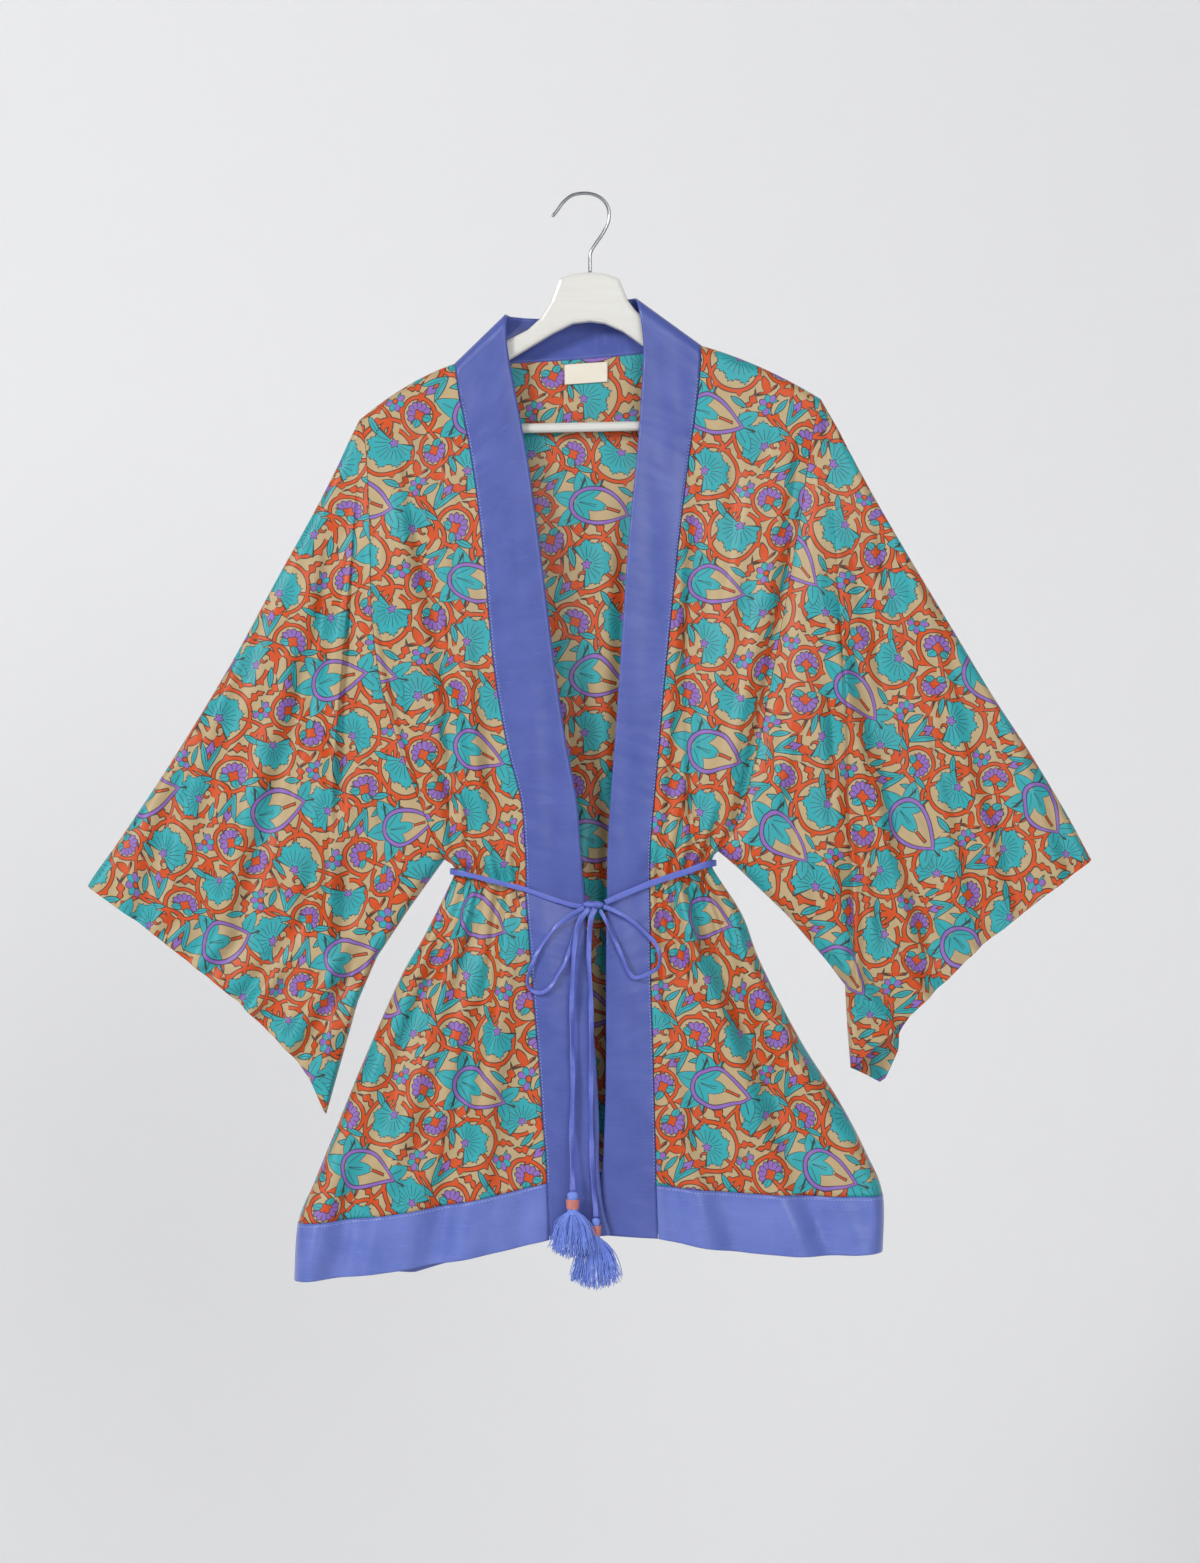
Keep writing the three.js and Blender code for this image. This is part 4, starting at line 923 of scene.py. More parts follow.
def teardrop(canvas, x, y):
    """A drop-shaped loop with leaves within, a crown round its top and a fan below."""
    r, up = polar(x, y)
    blade_fan(canvas, r, (up * 2.1).saw(1), 17, 38, (abs(up) - 1.65) * 12, 0.45, 26, 5)
    rt, at = polar(x, y + 33)
    blade_fan(canvas, rt, (at * 1.75).saw(1), 15, 26, (abs(abs(at) - 2.4) - 0.72) * 10, 0.5, 12, 6)
    down = abs(up) * -1 + math.pi
    drop = r - 18.5 - (down * -2.1).math("EXPONENT") * 21
    canvas.fill(drop, BEIGE)
    ri, ai = polar(x, y - 15)
    blade_fan(canvas, ri, (ai * 2.6).saw(1), 13, 29, (1.62 - abs(ai)) * 9, 0.36, 12, 8)
    canvas.fill((abs(x) - 1.3).high(abs(y + 22) - 7), ORANGE)
    canvas.fill(abs(drop + 0.4) - 2.1, PURPLE)


def tulip(canvas, x, y):
    """Long leaves that open round a bud."""
    t = y.scaled(0.036, 0.5)
    side = abs(x)
    off = side - t * t * 10 - 0.6
    leaf = abs(off) - t * (t * -1 + 1) * 15
    canvas.fill(leaf, TURQUOISE)
    canvas.ink((abs(off) - 0.28).high(abs(t - 0.48) - 0.36))
    canvas.fill(side - 4.6 + abs(y - 8) * 0.55, PURPLE)
    canvas.fill(side - 1.9 + abs(y - 2) * 0.4, ORANGE)


def wheel(canvas, x, y):
    """A small half daisy of alternate petals."""
    r, a = polar(x, y)
    petals = (a * 3.9).cos()
    head = (r - 8 - abs(petals) * 2.8).high((abs(a) - 2.3) * 8)
    canvas.fill(head, petals.less(0) * -1 + PURPLE)
    canvas.ink((abs(petals) - 0.14).high(head))
    canvas.fill(r - 2.8, ORANGE)


def barb(x, y):
    """A curved leaf with barbed sides."""
    bent = (y * y).scaled(0.035, x)
    barbs = y.scaled(0.24, 0.35).saw(1).scaled(4.4, 1.6)
    width = abs(y).scaled(-0.09, 1) * barbs
    return (abs(bent) - width) * 0.75


def trident(x, y):
    """Three pointed leaves from one stem."""
    r, a = polar(x, y + 8)
    blades = (a * 1.3).saw(1)
    return (blades.scaled(14, r) - 18).high((abs(a) - 1.3) * 6) * 0.6


def petal(canvas, x, y):
    """A small pointed leaf with a dark vein."""
    t = y * 0.1
    canvas.fill(abs(x) - (t * t * -1 + 1) * 3, TURQUOISE)
    canvas.ink((abs(x) - 0.25).high(abs(y) - 5.5))


# Where each kind of motif sits in a repeat, in millimetres, and its turn in degrees.
TEAR = ((6.5, 25.5), 72)
PALMS = (((58.0, 1.0), 35), ((10.0, 135.8), -72), ((36.6, 73.4), 152))
BLOOMS = (((70.5, 106.1), 24), ((84.6, 73.8), 205), ((105.5, 162.7), -64))
TULIPS = (((94.7, 23.4), -40), ((89.1, 136.6), 132))
WHEELS = (((70.1, 35.6), 60), ((44.5, 120.1), 200))
BARBS = (((8.6, 98.4), 50), ((53.6, 39.5), -30), ((66.5, 132.4), -70), ((17.5, -1.5), 40),
         ((46.5, 136.5), 100))
TRIDENTS = (((89.5, 46.5), 84), ((113.0, 84.0), -50), ((66.5, 54.5), 20))
PETALS = (((22.0, 98.0), 30), ((104.5, 57.0), 15), ((80.0, 8.0), 60), ((109.5, 137.0), 100),
          ((0.5, 64.0), 70), ((29.0, 20.0), -20), ((82.5, 33.0), 130), ((41.0, 38.0), 60),
          ((69.5, 143.5), -40))
# The two stems: their middle, how far they sway and where in the wave they begin.
STEMS = ((24.0, 15.0, 0.4), (82.0, 13.0, 2.6))


def draw_print(p):
    """The whole print at places in millimetres."""
    vines = barb(*nearest(p, BARBS)).low(trident(*nearest(p, TRIDENTS)))
    for centre_x, sway, phase in STEMS:
        across = p[0] - centre_x
        column_ = (across / TILE_WIDE).math("ROUND")
        turns = 4 * math.pi / TILE_TALL
        up = column_.scaled(-TILE_TALL / 2, p[1])
        wave = up.scaled(turns, phase).sin()
        off = wave.scaled(-sway, column_.scaled(-TILE_WIDE, across))
        vines = vines.low((abs(off) - 2.3) * 0.72)
    palm = nearest(p, PALMS)
    vines = vines.low(vine_ring(*polar(*palm), 25.5, 1.3, 2.07))
    vines = vines.low(comma(palm[0] - 9, palm[1] + 15))
    flower = nearest(p, BLOOMS)
    vines = vines.low(vine_ring(*polar(*flower), 17.4, -0.75, 1.43))
    canvas = Canvas(vines.less(0) * ORANGE, abs(vines).less(0.5))
    petal(canvas, *nearest(p, PETALS))
    palmette(canvas, *palm)
    bloom(canvas, *flower)
    tulip(canvas, *nearest(p, TULIPS))
    wheel(canvas, *nearest(p, WHEELS))
    teardrop(canvas, *place(p, *TEAR))
    return canvas


def rgb(text):
    """A linear colour from a web colour."""
    out = []
    for k in (0, 2, 4):
        c = int(text[k : k + 2], 16) / 255
        out.append(c / 12.92 if c <= 0.04045 else ((c + 0.055) / 1.055) ** 2.4)
    return (*out, 1)


def feed(tree, slot, value):
    """Gives an input what it takes: another node's output, a web colour or a plain value."""
    if isinstance(value, Num):
        value = value.socket
    if isinstance(value, bpy.types.NodeSocket):
        tree.links.new(value, slot)
    else:
        slot.default_value = rgb(value) if isinstance(value, str) else value


def feed_all(tree, node, **values):
    for name, value in values.items():
        feed(tree, node.inputs[name.replace("_", " ")], value)


def add_node(tree, kind, *firsts, **values):
    """A node with its first inputs fed in order and others by name."""
    node = tree.nodes.new("ShaderNode" + kind)
    for slot, value in zip(node.inputs, firsts):
        feed(tree, slot, value)
    feed_all(tree, node, **values)
    return node


def principled(name, roughness, **values):
    material = bpy.data.materials.new(name)
    material.use_nodes = True
    tree = material.node_tree
    shader = tree.nodes["Principled BSDF"]
    feed_all(tree, shader, Roughness=roughness, **values)
    return material, tree, shader


def cloth_places(tree):
    node = tree.nodes.new("ShaderNodeUVMap")
    node.uv_map = "cloth"
    return node.outputs["UV"]


def noise(tree, vector, scale, detail=2.0, roughness=0.5, output="Fac"):
    node = add_node(tree, "TexNoise", Vector=vector, Scale=scale, Detail=detail, Roughness=roughness)
    return Num(tree, node.outputs[output])


def stretched(tree, vector, x, y, z=1.0):
    node = add_node(tree, "VectorMath", vector, (x, y, z))
    node.operation = "MULTIPLY"
    return node.outputs[0]


def bump(tree, shader, height, strength, distance):
    node = add_node(tree, "Bump", Strength=strength, Distance=distance, Height=height)
    feed_all(tree, shader, Normal=node.outputs["Normal"])


def blend(tree, factor, a, b, mode="MIX"):
    """A mix of two colours; each may be a socket or a web colour."""
    node = tree.nodes.new("ShaderNodeMix")
    node.data_type = "RGBA"
    node.blend_type = mode
    for slot, value in ((0, factor), (6, a), (7, b)):
        feed(tree, node.inputs[slot], value)
    return node.outputs[2]


def split(tree, kind, value):
    """The first two parts of a vector or a colour."""
    outputs = add_node(tree, kind, value).outputs
    return Num(tree, outputs[0]), Num(tree, outputs[1])


def weave(tree, places, pitch):
    """The height of a plain weave whose threads are pitch mm apart."""
    turn = math.pi / (pitch * MM)
    u, v = split(tree, "SeparateXYZ", places)
    return (u * turn).sin() * (v * turn).sin()


PRINT_COLOURS = ((0.0, "bea67c"), (0.17, "d24c08"), (0.5, "2ca6ae"), (0.83, "8e67bb"))
PRINT_LINE = "2e2a24"
PRINT_DRIFT = 13


def print_material():
    """A thin satin crepe with a generic scrolling-vine flower print, four colours on an outline."""
    material, tree, shader = principled("printed_crepe", 0.45, Sheen_Weight=0.08, Sheen_Roughness=0.4,
                                        Specular_IOR_Level=0.42)
    places = cloth_places(tree)
    drift = split(tree, "SeparateColor", noise(tree, places, 17.0, 0.0, output="Color"))
    flat = split(tree, "SeparateXYZ", places)
    canvas = draw_print([way * 1000 + (aside - 0.5) * PRINT_DRIFT for way, aside in zip(flat, drift)])
    ramp = add_node(tree, "ValToRGB", canvas.tone / 3)
    ramp.color_ramp.interpolation = "CONSTANT"
    stops = ramp.color_ramp.elements
    stops[1].position = PRINT_COLOURS[ORANGE][0]
    for position, _ in PRINT_COLOURS[TURQUOISE:]:
        stops.new(position)
    for stop, (_, colour) in zip(stops, PRINT_COLOURS):
        stop.color = rgb(colour)
    colour = blend(tree, canvas.line * 0.92, ramp.outputs["Color"], PRINT_LINE)
    cloudy = noise(tree, places, 60.0, 1.0)
    colour = blend(tree, cloudy * 0.22, colour, "8f7f6a", "MULTIPLY")
    feed_all(tree, shader, Base_Color=colour)
    slub = noise(tree, stretched(tree, places, 220, 2600), 1.0, 0.0)
    bump(tree, shader, weave(tree, places, 0.5) * 0.35 + slub, 0.35, 0.00012)
    return material


def satin_material(name, colour, dark, light, roughness=0.36, pitch=0.35):
    """A plain dyed satin with fine threads, cloudy patches of darker and lighter tone, and faint light
    streaks of painted highlight where its wrinkles would catch the light.
    """
    material, tree, shader = principled(name, roughness, Sheen_Weight=0.12, Sheen_Roughness=0.35,
                                        Specular_IOR_Level=0.5)
    places = cloth_places(tree)
    threads = noise(tree, stretched(tree, places, 150, 1500), 1.0, 2.0, 0.6)
    cloudy = noise(tree, places, 26.0, 2.0)
    creases = noise(tree, stretched(tree, places, 26, 60), 1.0, 1.0)
    painted_highlight_streaks = noise(tree, stretched(tree, places, 30, 420), 1.0, 1.0)
    base = blend(tree, (cloudy - 0.5) * 1.8 + 0.5, dark, light)
    base = blend(tree, 0.45, base, colour)
    base = blend(tree, (threads - 0.42).high(0) * 1.2, base, light)
    # Painted highlight: faint light streaks across the satin stand in for wrinkles catching the light.
    base = blend(tree, (painted_highlight_streaks - 0.6).high(0) * 2.4, base, light)
    feed_all(tree, shader, Base_Color=base, Roughness=threads * 0.16 + (roughness - 0.08))
    bump(tree, shader, weave(tree, places, pitch) * 0.3 + threads + creases * 26, 0.4, 0.0001)
    return material


def grained(name, roughness, sizes, detail, dark, light, on_cloth=True, **values):
    """A material between two colours of a stretched grain, with what a bump needs."""
    material, tree, shader = principled(name, roughness, **values)
    places = cloth_places(tree) if on_cloth else tree.nodes.new("ShaderNodeTexCoord").outputs["Object"]
    grain = noise(tree, stretched(tree, places, *sizes), 1.0, *detail)
    feed_all(tree, shader, Base_Color=blend(tree, grain, dark, light))
    return material, tree, shader, places, grain


def yarn_material(name, colour, dark, roughness=0.62):
    """Cut yarn: a matt twisted thread, with painted shade that makes it darker in its hollows."""
    # The twist's low parts take the dark colour: painted shade in the yarn's hollows, from the same noise as
    # its bump.
    material, tree, shader, _, twist = grained(name, roughness, (900, 260), (2.0,), dark, colour,
                                               Sheen_Weight=0.5, Sheen_Roughness=0.5)
    bump(tree, shader, twist, 0.5, 0.0002)
    return material


def thread_material():
    """Glossy coral thread wound close, each turn rounded."""
    material, tree, shader, _, strands = grained("coral_thread", 0.34, (300, 3000), (2.0,),
                                                 "b4605a", "d88b80", Sheen_Weight=0.2)
    bump(tree, shader, strands, 0.3, 0.0001)
    return material


def label_material():
    """Undyed woven tape."""
    material, tree, shader, places, grain = grained("label_cloth", 0.7, (400, 2200), (3.0,),
                                                    "d9cfbb", "f1eadc", Sheen_Weight=0.2)
    bump(tree, shader, weave(tree, places, 0.4) * 0.6 + grain, 0.45, 0.00015)
    return material


def wood_material():
    """White lacquer over a fine grain, a little warmer where it is worn."""
    material, tree, shader, places, grain = grained("white_lacquer", 0.34, (14, 90, 160), (5.0, 0.6),
                                                    "cfcdc6", "dfded9", on_cloth=False,
                                                    Coat_Weight=0.25, Coat_Roughness=0.2)
    fine = noise(tree, stretched(tree, places, 60, 400, 900), 1.0, 2.0)
    bump(tree, shader, grain + fine * 0.4, 0.18, 0.0003)
    return material


def wire_material():
    """Polished plated wire with faint drawn lines."""
    material, tree, shader, _, drawn = grained("hook_wire", 0.16, (700, 700, 90), (3.0,),
                                               "8b8e92", "b9bcbf", on_cloth=False, Metallic=1.0)
    feed_all(tree, shader, Roughness=drawn * 0.16 + 0.1)
    bump(tree, shader, drawn, 0.1, 0.0001)
    return material


PRINT = print_material()
BAND = satin_material("periwinkle_satin", "4657a0", "3b4790", "5866b1")
HEM = satin_material("periwinkle_hem", "5c6fbb", "4d5fac", "7282cb")
BELT = satin_material("belt_satin", "5867c0", "4450a6", "7280d4", 0.34, 0.25)
STITCH = yarn_material("stitch_thread", "c3caf6", "9ea8e8", 0.5)
YARN = yarn_material("tassel_yarn", "7f9bee", "5b78d8")
THREAD = thread_material()
LABEL_CLOTH = label_material()
WOOD = wood_material()
WIRE = wire_material()


# The cloth pieces.

def spaced(*parts):
    """Rising numbers from (start, end, count) parts."""
    return np.unique(np.round(np.concatenate([np.linspace(a, b, n) for a, b, n in parts]), 6))


ARM_V = spaced((0, 0.12, 5), (0.12, 1, 8), (1, 8.2, 88), (8.2, LAST_ARM_ROW, 16))
BODY_V = spaced((0, 0.12, 5), (0.12, 1, 8), (1, LAST_ROW, 186))
FRONT_U = spaced((0, 0.02, 4), (0.02, 0.1, 6), (0.1, 0.93, 44), (0.93, 1, 6))
BACK_U = spaced((0, 0.01, 4), (0.01, 0.05, 5), (0.05, 0.95, 96), (0.95, 0.99, 5), (0.99, 1, 4))
HEM_V = np.linspace(LAST_ROW, HEM_ROW, 16)
SLEEVE_TURN = 0.5


def dress(obj, slot, *nodes):
    """Gives a piece its body and hides the CAD nodes that it stands for; its slot is not used."""
    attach(obj, "root")
    if nodes:
        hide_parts(*nodes)
    return obj


fronts = {}
for name, rows in (("left", LEFT_FRONT), ("right", RIGHT_FRONT)):
    front = make(f"cloth_front_{name}", wall(grid_of(front_surface(rows), FRONT_U, BODY_V), CLOTH), PRINT)
    fronts[name] = dress(front, "print_cloth", f"front_{name}")

back = make("cloth_back", wall(grid_of(back_surface, BACK_U, BODY_V), CLOTH), PRINT)
dress(back, "print_cloth", "back_panel")

sleeves = {}
SLEEVES = {
    "left": (LEFT_FRONT, LEFT_TOP_FOLD, LEFT_FAR),
    "right": (RIGHT_FRONT, RIGHT_TOP_FOLD, RIGHT_FAR),
}
for name, (rows, top_fold, far) in SLEEVES.items():
    edge, inner = KNIFE[name]
    us = spaced((0, 0.03, 5), (0.03, edge, 66), (edge, inner, 9), (inner, 1, 42), (0.985, 1, 4))
    front, behind = (grid_of(sleeve_surface(rows, top_fold, far, name, layer), us, ARM_V)
                     for layer in ("front", "back"))
    tip = int(np.argmin(np.abs(us - edge)))
    last = len(ARM_V) - 1

    def is_closed(p, q, tip=tip, last=last):
        if p[1] == 0 and q[1] == 0 or p[0] == 0 and q[0] == 0:
            return True
        return p[0] == last and q[0] == last and min(p[1], q[1]) >= tip

    turn = SLEEVE_TURN if name == "left" else -SLEEVE_TURN
    sleeve = make(f"cloth_sleeve_{name}", pouch(front, behind, CLOTH, is_closed, turn), PRINT)
    sleeves[name] = dress(sleeve, "print_cloth", f"sleeve_{name}")


def band_front(rows, lean):
    toward = np.sign(rows["seamX"][0] - rows["sideX"][0])

    def surface(w, v):
        seam = column(rows, "seam", v)
        free = column(rows, "free", v)
        x = mix(seam[0] + toward * (SEAM_GAP + 0.3), free[0], w)
        z = mix(seam[1], free[1], w)
        zero = np.zeros_like(v)
        open_ = openness(dist(seam, column(rows, "seam", zero)), TOP_ROUND)
        folds = folds_at(FRONT_FOLDS, seam[0], seam[1]) * (1 - w) ** 2
        pucker = 0.35 * np.sin(seam[1] / 3.1 + 2 * np.sin(seam[1] / 23)) * (1 - w) ** 3
        soft = 0.8 * ripples(x, z, 11) * 4 * w * (1 - w)
        leaning = lean * w * smooth((v - 9) / 9)
        depth = body_half(x, z, "front") - folds + leaning + pucker + soft * smooth(v / 2)
        y = -FOLD_GAP - np.where(v == 0, 0, open_) * depth
        return joined(x, y, z)

    return surface


def behind_neck(count):
    at = np.linspace(0, 7, count)
    columns = (np.interp(at, np.arange(8), values)[:, None] for values in NECK_BACK.values())
    seam_x, seam_y, free_x, free_y, free_z = columns
    w = np.linspace(0, 1, BAND_COLUMNS)[None]
    x = mix(seam_x, free_x, w)
    y = mix(seam_y, free_y, w) + 2 * np.sin(np.pi * w) + 0.3 * np.sin(seam_x / 4.5) * (1 - w)
    z = mix(neck_z(seam_x), free_z, w)
    return joined(x, y, z)


BAND_COLUMNS = 17
BAND_W = np.linspace(0, 1, BAND_COLUMNS)
BAND_V = np.concatenate([BODY_V, np.linspace(LAST_ROW, HEM_ROW, 12)[1:]])
BAND_LEANS = ((LEFT_FRONT, 4.5), (RIGHT_FRONT, -1.5))
left_grid, right_grid = (grid_of(band_front(rows, lean), BAND_W, BAND_V) for rows, lean in BAND_LEANS)
band_grid = np.concatenate([left_grid[::-1], behind_neck(44), right_grid])
band_way = lengths_along(band_grid, 0)[:, :1]
band_places = joined(lengths_along(band_grid, 1), band_way) * MM
band = make("cloth_neck_band", wall(band_grid, BAND_THICK, band_places), BAND)
dress(band, "plain_cloth", "neck_band")

hems = {}
HEM_PARTS = {
    "front_left": (front_surface(LEFT_FRONT), FRONT_U),
    "front_right": (front_surface(RIGHT_FRONT), FRONT_U),
    "back": (back_surface, BACK_U),
}
for name, (surface, us) in HEM_PARTS.items():
    grid = grid_of(surface, us, HEM_V) - np.array([0, 0, SEAM_GAP])
    hem = make(f"cloth_hem_{name}", wall(grid, HEM_THICK), HEM)
    hems[name] = dress(hem, "plain_cloth", f"hem_band_{name}")


# Belt, bow and tassels.

def line_length(line):
    return float(way_along(line)[-1]) * MM


BELT_THICK = 1.3
BELT_WIDE = 7.0
BELT_WIDE_ON_BAND = 5.4
BELT_PRESSED = 0.9
belt_line = smooth_line(BELT_STATIONS, 320)
belt_x, belt_y = belt_line[:, 0], belt_line[:, 1]
belt_faces = unit(joined((belt_x / 132) ** 3 * 0.9, belt_y / 20, 0 * belt_x))
belt_wide = np.where((belt_y < -14) & (belt_x < 5), BELT_WIDE_ON_BAND, BELT_WIDE)
belt_wide = np.convolve(np.pad(belt_wide, 8, mode="edge"), np.ones(17) / 17, "valid")
belt_wide += 0.35 * np.sin(np.arange(len(belt_line)) * 0.37)
belt = strap(Skin(), belt_line, belt_faces, belt_wide * BELT_PRESSED, BELT_THICK, 14, 3.0)
dress(make("belt_round_waist", belt, BELT), "belt_cloth", "belt_waist")


def knot_skin():
    """Two soft wraps of the belt side by side, pulled tight in the middle."""
    s = np.sin(np.linspace(-math.pi / 2, math.pi / 2, 49))[:, None]
    angle = np.linspace(0, 2 * np.pi, 41)[None]
    lean = s + 0.16 * np.sin(angle + 0.6)
    wraps = 0.8 + 0.2 * np.abs(np.sin(np.pi * lean))
    folds = 1 - 0.05 * np.abs(np.sin(3 * angle + 4 * s))
    r = np.sqrt(1 - np.abs(s) ** 2.6) * wraps * folds * KNOT["round"] / 2
    x = KNOT["x"] + s * KNOT["long"] / 2 + 0 * angle
    points = joined(x, KNOT["y"] + r * np.sin(angle), KNOT["z"] + r * np.cos(angle))
    places = joined(angle * 4, s * 11) * MM
    skin = Skin()
    ids = skin.grid(points, places)
    ids[:, -1] = ids[:, 0]
    skin.cover(ids)
    return skin


dress(make("belt_bow_knot", knot_skin(), BELT), "belt_cloth", "belt_knot")


TIE_TWIST = 0.95
TIE_TURNS = 2.3
# Rings along a free stretch, its width and its thickness.
LOOP_SIZE = (110, 4.3, 1.3)
END_SIZE = (150, 5.4, 1.5)


def tie(name, stations, steps, wide, thick):
    """One free stretch of the belt, flat and a little twisted."""
    line = smooth_line(stations, steps)
    t = np.linspace(0, 1, len(line))
    twist = TIE_TWIST * np.sin(2 * np.pi * (TIE_TURNS * t + 0.2)) * smooth(t / 0.1) * smooth((1 - t) / 0.1)
    faces = joined(np.sin(twist), -np.cos(twist), 0 * twist)
    wide = wide + 0.3 * np.sin(31 * t) + 0.2 * np.sin(83 * t + 1)
    return line, make(name, strap(Skin(), line, faces, wide, thick, 16, 3.4), BELT)


for name, stations in LOOPS.items():
    line, loop = tie(f"belt_bow_loop_{name}", stations, *LOOP_SIZE)
    dress(loop, "belt_cloth", f"belt_loop_{name}")
    line_length(line)


STRANDS = 240
HEAD_CLEAR = 1.2
# The head's outline: how far below its top, and its radius as a share of the neck's.
HEAD_OUTLINE = table("down radius", [
    [0, 0.25], [0.8, 0.72], [2.5, 1.06], [5, 1.0], [8, 0.98], [14, 0.98], [17, 1.0], [HEAD_TALL, 1.04],
    [HEAD_TALL + 3, 0.9],
])
BIND_TURNS = 9
BIND_RINGS_A_TURN = 26
BIND_BELOW_TOP = 7
BIND_THREAD = (1.25, 1.0)
BIND_EDGE = 0.6


def tassel_skin(tassel):
    """A head of laid yarn and many cut strands fanned from it."""
    rng = np.random.default_rng(int(tassel["top"]) % 97)
    skin = Skin()
    neck = tassel["bind"] / 2 - HEAD_CLEAR
    top = tassel["top"]
    middle = np.array([tassel["x"], tassel["y"], top])
    heights = -HEAD_OUTLINE["down"]
    radii = HEAD_OUTLINE["radius"] * neck
    angle = np.linspace(0, 2 * np.pi, 49)
    ridges = 1 + 0.05 * np.sin(12 * angle)
    ring = joined(np.cos(angle) * ridges, np.sin(angle) * 0.8 * ridges)
    points = np.array([[[tassel["x"] + r * c, tassel["y"] + r * s, top + h] for c, s in ring]
                       for h, r in zip(heights, radii)])
    places = joined(angle[None] * neck, heights[:, None]) * MM
    ids = skin.grid(points, places)
    ids[:, -1] = ids[:, 0]
    skin.cover(ids)
    skin.close(ids[0, :-1])
    skin.close(ids[-1, :-1], backwards=True)
    for _ in range(STRANDS):
        across = rng.uniform(-1, 1)
        across = np.sign(across) * abs(across) ** 0.8
        depth = rng.uniform(-1, 1)
        length = tassel["fall"] * (1 - 0.2 * across**2) * rng.uniform(0.84, 1.02)
        root = middle + [across * neck * 0.75, depth * neck * 0.55, 1 - HEAD_TALL]
        foot = middle + [across * tassel["spread"] * rng.uniform(0.74, 1.04),
                         depth * tassel["deep"] * (1 - 0.35 * abs(across)), -HEAD_TALL - length]
        aside = [across * 3.5 + rng.normal(0, 1.2), rng.normal(0, 0.5), 3 + rng.normal(0, 1.5)]
        bend = mix(root, foot, 0.45) + aside
        near = mix(bend, foot, 0.6) + [rng.normal(0, 1.4), rng.normal(0, 0.4), 0]
        line = smooth_line([root, bend, near, foot], 9)
        faces = np.tile([0.0, -1.0, 0.0], (len(line), 1))
        taper = np.linspace(1.0, 0.7, len(line)) * rng.uniform(0.8, 1.2)
        strap(skin, line, faces, taper, taper, 5, 2.0)
    return skin


def binding_skin(tassel):
    """Thread wound round the head in close turns, a little narrower at the foot."""
    t = np.linspace(0, 1, BIND_TURNS * BIND_RINGS_A_TURN + 1)
    angle = 2 * np.pi * BIND_TURNS * t
    neck = tassel["bind"] / 2 - HEAD_CLEAR
    radius = neck + 0.75 + 0.65 * (1 - t) ** 0.8
    x = tassel["x"] + radius * np.cos(angle)
    y = tassel["y"] + 0.8 * radius * np.sin(angle)
    z = tassel["top"] - BIND_BELOW_TOP - BIND_EDGE - (BIND_TALL - 2 * BIND_EDGE) * t
    line = joined(x, y, z)
    faces = unit(joined(np.cos(angle), np.sin(angle), 0 * angle))
    return strap(Skin(), line, faces, *BIND_THREAD, 8, 2.0)


for name, stations in ENDS.items():
    tassel = TASSELS[name]
    fan = dress(make(f"yarn_tassel_{name}", tassel_skin(tassel), YARN), "tassel_yarn", f"tassel_{name}")
    winding = dress(make(f"thread_binding_{name}", binding_skin(tassel), THREAD), "binding_thread",
                    f"tassel_binding_{name}")
    line, end = tie(f"belt_hanging_end_{name}", stations, *END_SIZE)
    dress(end, "belt_cloth", f"belt_end_{name}")
    line_length(line)


# Label, stitches and hanger.

def label_surface(across, down):
    x = LABEL["x"] + (across - 0.5) * LABEL["wide"]
    z = LABEL["z"] + (0.5 - down) * LABEL["tall"] + (across - 0.5) * LABEL["wide"] * LABEL["tilt"]
    lift = 0.5 * np.sin(np.pi * down) + 0.25 * np.sin(5 * across + 2 * down)
    return joined(x, FOLD_GAP + body_half(x, z, "back") - LABEL["off"] - 0.5 - lift, z)


label_grid = grid_of(label_surface, np.linspace(0, 1, 41), np.linspace(0, 1, 21))
label = dress(make("blank_label", wall(label_grid, 0.5), LABEL_CLOTH), "label_cloth", "neck_label")


def stitches(skin, line, normals, stitch, pitch, zig=0.0, thick=0.42):
    """Short raised stitches along a line; zig swings them from side to side."""
    way = way_along(line)
    count = int(way[-1] / pitch)

    def at(s):
        return np.array([np.interp(s, way, line[:, k]) for k in range(3)])

    for k in range(count):
        a = at(k * pitch)
        b = at(k * pitch + stitch)
        normal = normals[min(len(normals) - 1, int(np.searchsorted(way, k * pitch)))]
        along = unit(b - a)
        aside = np.cross(normal, along)
        a = a + aside * zig * (-1) ** k
        b = b - aside * zig * (-1) ** k
        middle = (a + b) / 2
        ring = [a, middle + aside * thick / 2, b, middle - aside * thick / 2]
        top = middle + normal * thick * 0.55
        low = middle - normal * thick * 0.3
        ids = skin.grid(np.array([*ring, top, low]))
        *ring, up, under = ids
        pairs = list(zip(ring, ring[1:] + ring[:1]))
        skin.quads([(p, q, up, up) for p, q in pairs] + [(q, p, under, under) for p, q in pairs])
    return skin


def outward(grid, thick, sign):
    """A grid moved to the face of its wall that looks along sign y, with that face's normals."""
    normals = grid_normals(grid)
    flip = np.where(normals[..., 1:2] * sign < 0, -1, 1)
    normals = normals * flip
    return grid + normals * thick / 2, normals


BAND_STITCH_W = np.array([0.015, 0.03, 0.045])
HEM_STITCH_V = LAST_ROW + np.array([0.02, 0.06, 0.1])
SHOULDER_ROWS = 14
seam_stitches = Skin()
for rows, lean in BAND_LEANS:
    grid = grid_of(band_front(rows, lean), BAND_STITCH_W, BODY_V[SHOULDER_ROWS:])
    face, normals = outward(grid, BAND_THICK, -1)
    stitches(seam_stitches, face[:, 1], normals[:, 1], 2.4, 3.4, 0.5, 0.8)
dress(make("stitches_band_seam", seam_stitches, STITCH), "plain_cloth")

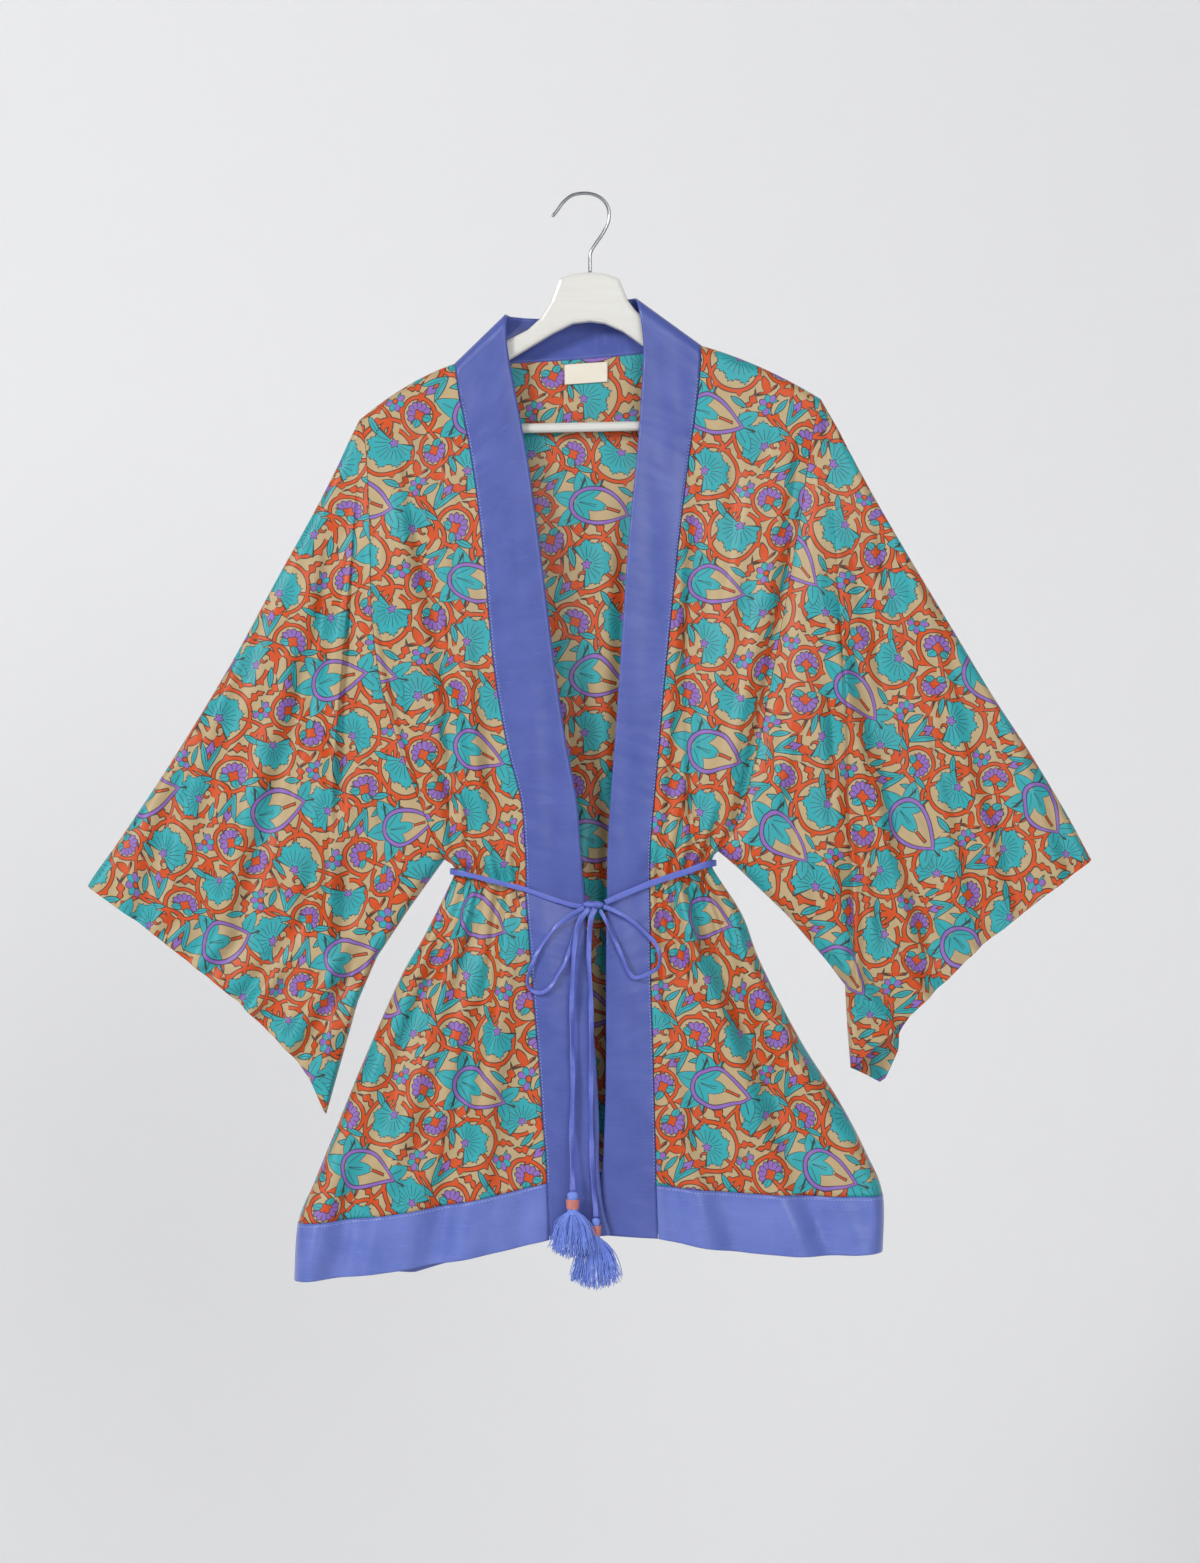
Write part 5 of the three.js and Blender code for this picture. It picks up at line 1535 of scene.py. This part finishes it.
hem_stitches = Skin()
for name, (surface, us) in HEM_PARTS.items():
    sign = 1 if name == "back" else -1
    grid = grid_of(surface, us, HEM_STITCH_V) - np.array([0, 0, SEAM_GAP])
    face, normals = outward(grid, HEM_THICK, sign)
    stitches(hem_stitches, face[1], normals[1], 2.2, 3.4, 0, 0.7)
dress(make("stitches_hem_seam", hem_stitches, STITCH), "plain_cloth")


TIP_FROM = 0.985
TIP_FLAT = 0.03


def wire_skin(stations, steps, radius, sides=20):
    """Round wire with a rounded tip."""
    line = smooth_line(stations, steps)
    faces = np.tile([0.0, -1.0, 0.0], (len(line), 1))
    t = np.linspace(0, 1, len(line))
    tip = clamp01((t - TIP_FROM) / 0.015)
    size = 2 * radius * np.sqrt(np.clip(1 - tip**2, TIP_FLAT, 1))
    return strap(Skin(), line, faces, size, size, sides, 2.0)


dress(make("hook_of_wire", wire_skin(HOOK_LINE, 160, WIRE_RADIUS), WIRE), "hook_wire", "hanger_hook")
for name in ("hanger_wood", "hanger_bar"):
    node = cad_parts[name]
    node.data.materials.clear()
    node.data.materials.append(WOOD)


# Camera, light and stage.

scene = bpy.context.scene
camera_data = bpy.data.cameras.new("camera")
camera_data.sensor_fit = "VERTICAL"
camera_data.sensor_height = 36
camera_data.lens = 36 * CAMERA_AWAY / (PHOTO_TALL * MM)
camera = add_object("camera", camera_data)
camera.location = (PHOTO_CENTRE[0] * MM, -CAMERA_AWAY, PHOTO_CENTRE[1] * MM)
camera.rotation_euler = (math.pi / 2, 0, 0)
scene.camera = camera
scene.view_settings.view_transform = "Standard"


LIT = Vector((0, 0, -0.6))


def area_light(name, from_, size, power):
    data = bpy.data.lights.new(name, "AREA")
    data.shape = "DISK"
    data.size = size
    data.energy = power
    light = add_object(name, data)
    light.location = from_
    light.rotation_euler = (LIT - Vector(from_)).to_track_quat("-Z", "Y").to_euler()


# Each light's place and size in metres and its power in watts.
area_light("key", (-3.3, -3.6, 1.5), 1.3, 142)
area_light("fill", (1.3, -3.6, 0.5), 2.0, 49)
area_light("behind", (0.3, 2.6, 0.8), 2.0, 24)

world = bpy.data.worlds.new("studio")
world.use_nodes = True
sky = world.node_tree.nodes["Background"].inputs
sky["Color"].default_value = (0.93, 0.94, 0.96, 1)
sky["Strength"].default_value = 0.375
scene.world = world


def stage_material(name, colour, front_only=False):
    material, tree, shader = principled(name, 0.85, Base_Color=(*colour, 1))
    if front_only:
        clear = add_node(tree, "BsdfTransparent")
        facing = add_node(tree, "NewGeometry").outputs["Backfacing"]
        either = add_node(tree, "MixShader", facing, shader.outputs[0], clear.outputs[0])
        feed_all(tree, tree.nodes["Material Output"], Surface=either.outputs[0])
    return material


def stage_plane(name, corners, material):
    mesh = bpy.data.meshes.new(name)
    mesh.from_pydata(corners, [], [(0, 1, 2, 3)])
    mesh.materials.append(material)
    add_object(name, mesh)


FLOOR_Z = -2.0
FLOOR = 5
WALL_Y = 2.0
WALL = 6
WALL_TOP = 4
stage_plane("floor", [(x, y, FLOOR_Z) for x, y in ((-FLOOR, -FLOOR), (FLOOR, -FLOOR), (FLOOR, FLOOR),
                                                   (-FLOOR, FLOOR))],
            stage_material("pale_floor", (0.86, 0.865, 0.88)))
stage_plane("backdrop", [(x, WALL_Y, z) for x, z in ((-WALL, FLOOR_Z), (WALL, FLOOR_Z), (WALL, WALL_TOP),
                                                     (-WALL, WALL_TOP))],
            stage_material("pale_backdrop", (0.95, 0.95, 0.955), front_only=True))

# Each sheet's flat width and length in metres, what holds it up, and its area where it isn't a rectangle.
SHEETS = [
    (fronts["left"], (0.27, 0.84), ["hanger_wood"], 0.13),
    (fronts["right"], (0.26, 0.83), ["hanger_wood"], 0.125),
    (back, (0.62, 0.86), ["hanger_wood"], 0.40),
    (sleeves["left"], (0.84, 0.54), ["cloth_front_left", "cloth_back"], 0.25),
    (sleeves["right"], (0.84, 0.54), ["cloth_front_right", "cloth_back"], 0.27),
    (band, (0.06, 2.03), ["hanger_wood"], None),
    (hems["front_left"], (0.26, 0.06), ["cloth_front_left"], None),
    (hems["front_right"], (0.235, 0.06), ["cloth_front_right"], None),
    (hems["back"], (0.61, 0.06), ["cloth_back"], None),
    (label, (0.043, 0.02), ["cloth_back"], None),
]
for piece, flat, rests_on, area in SHEETS:
    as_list(rests_on)
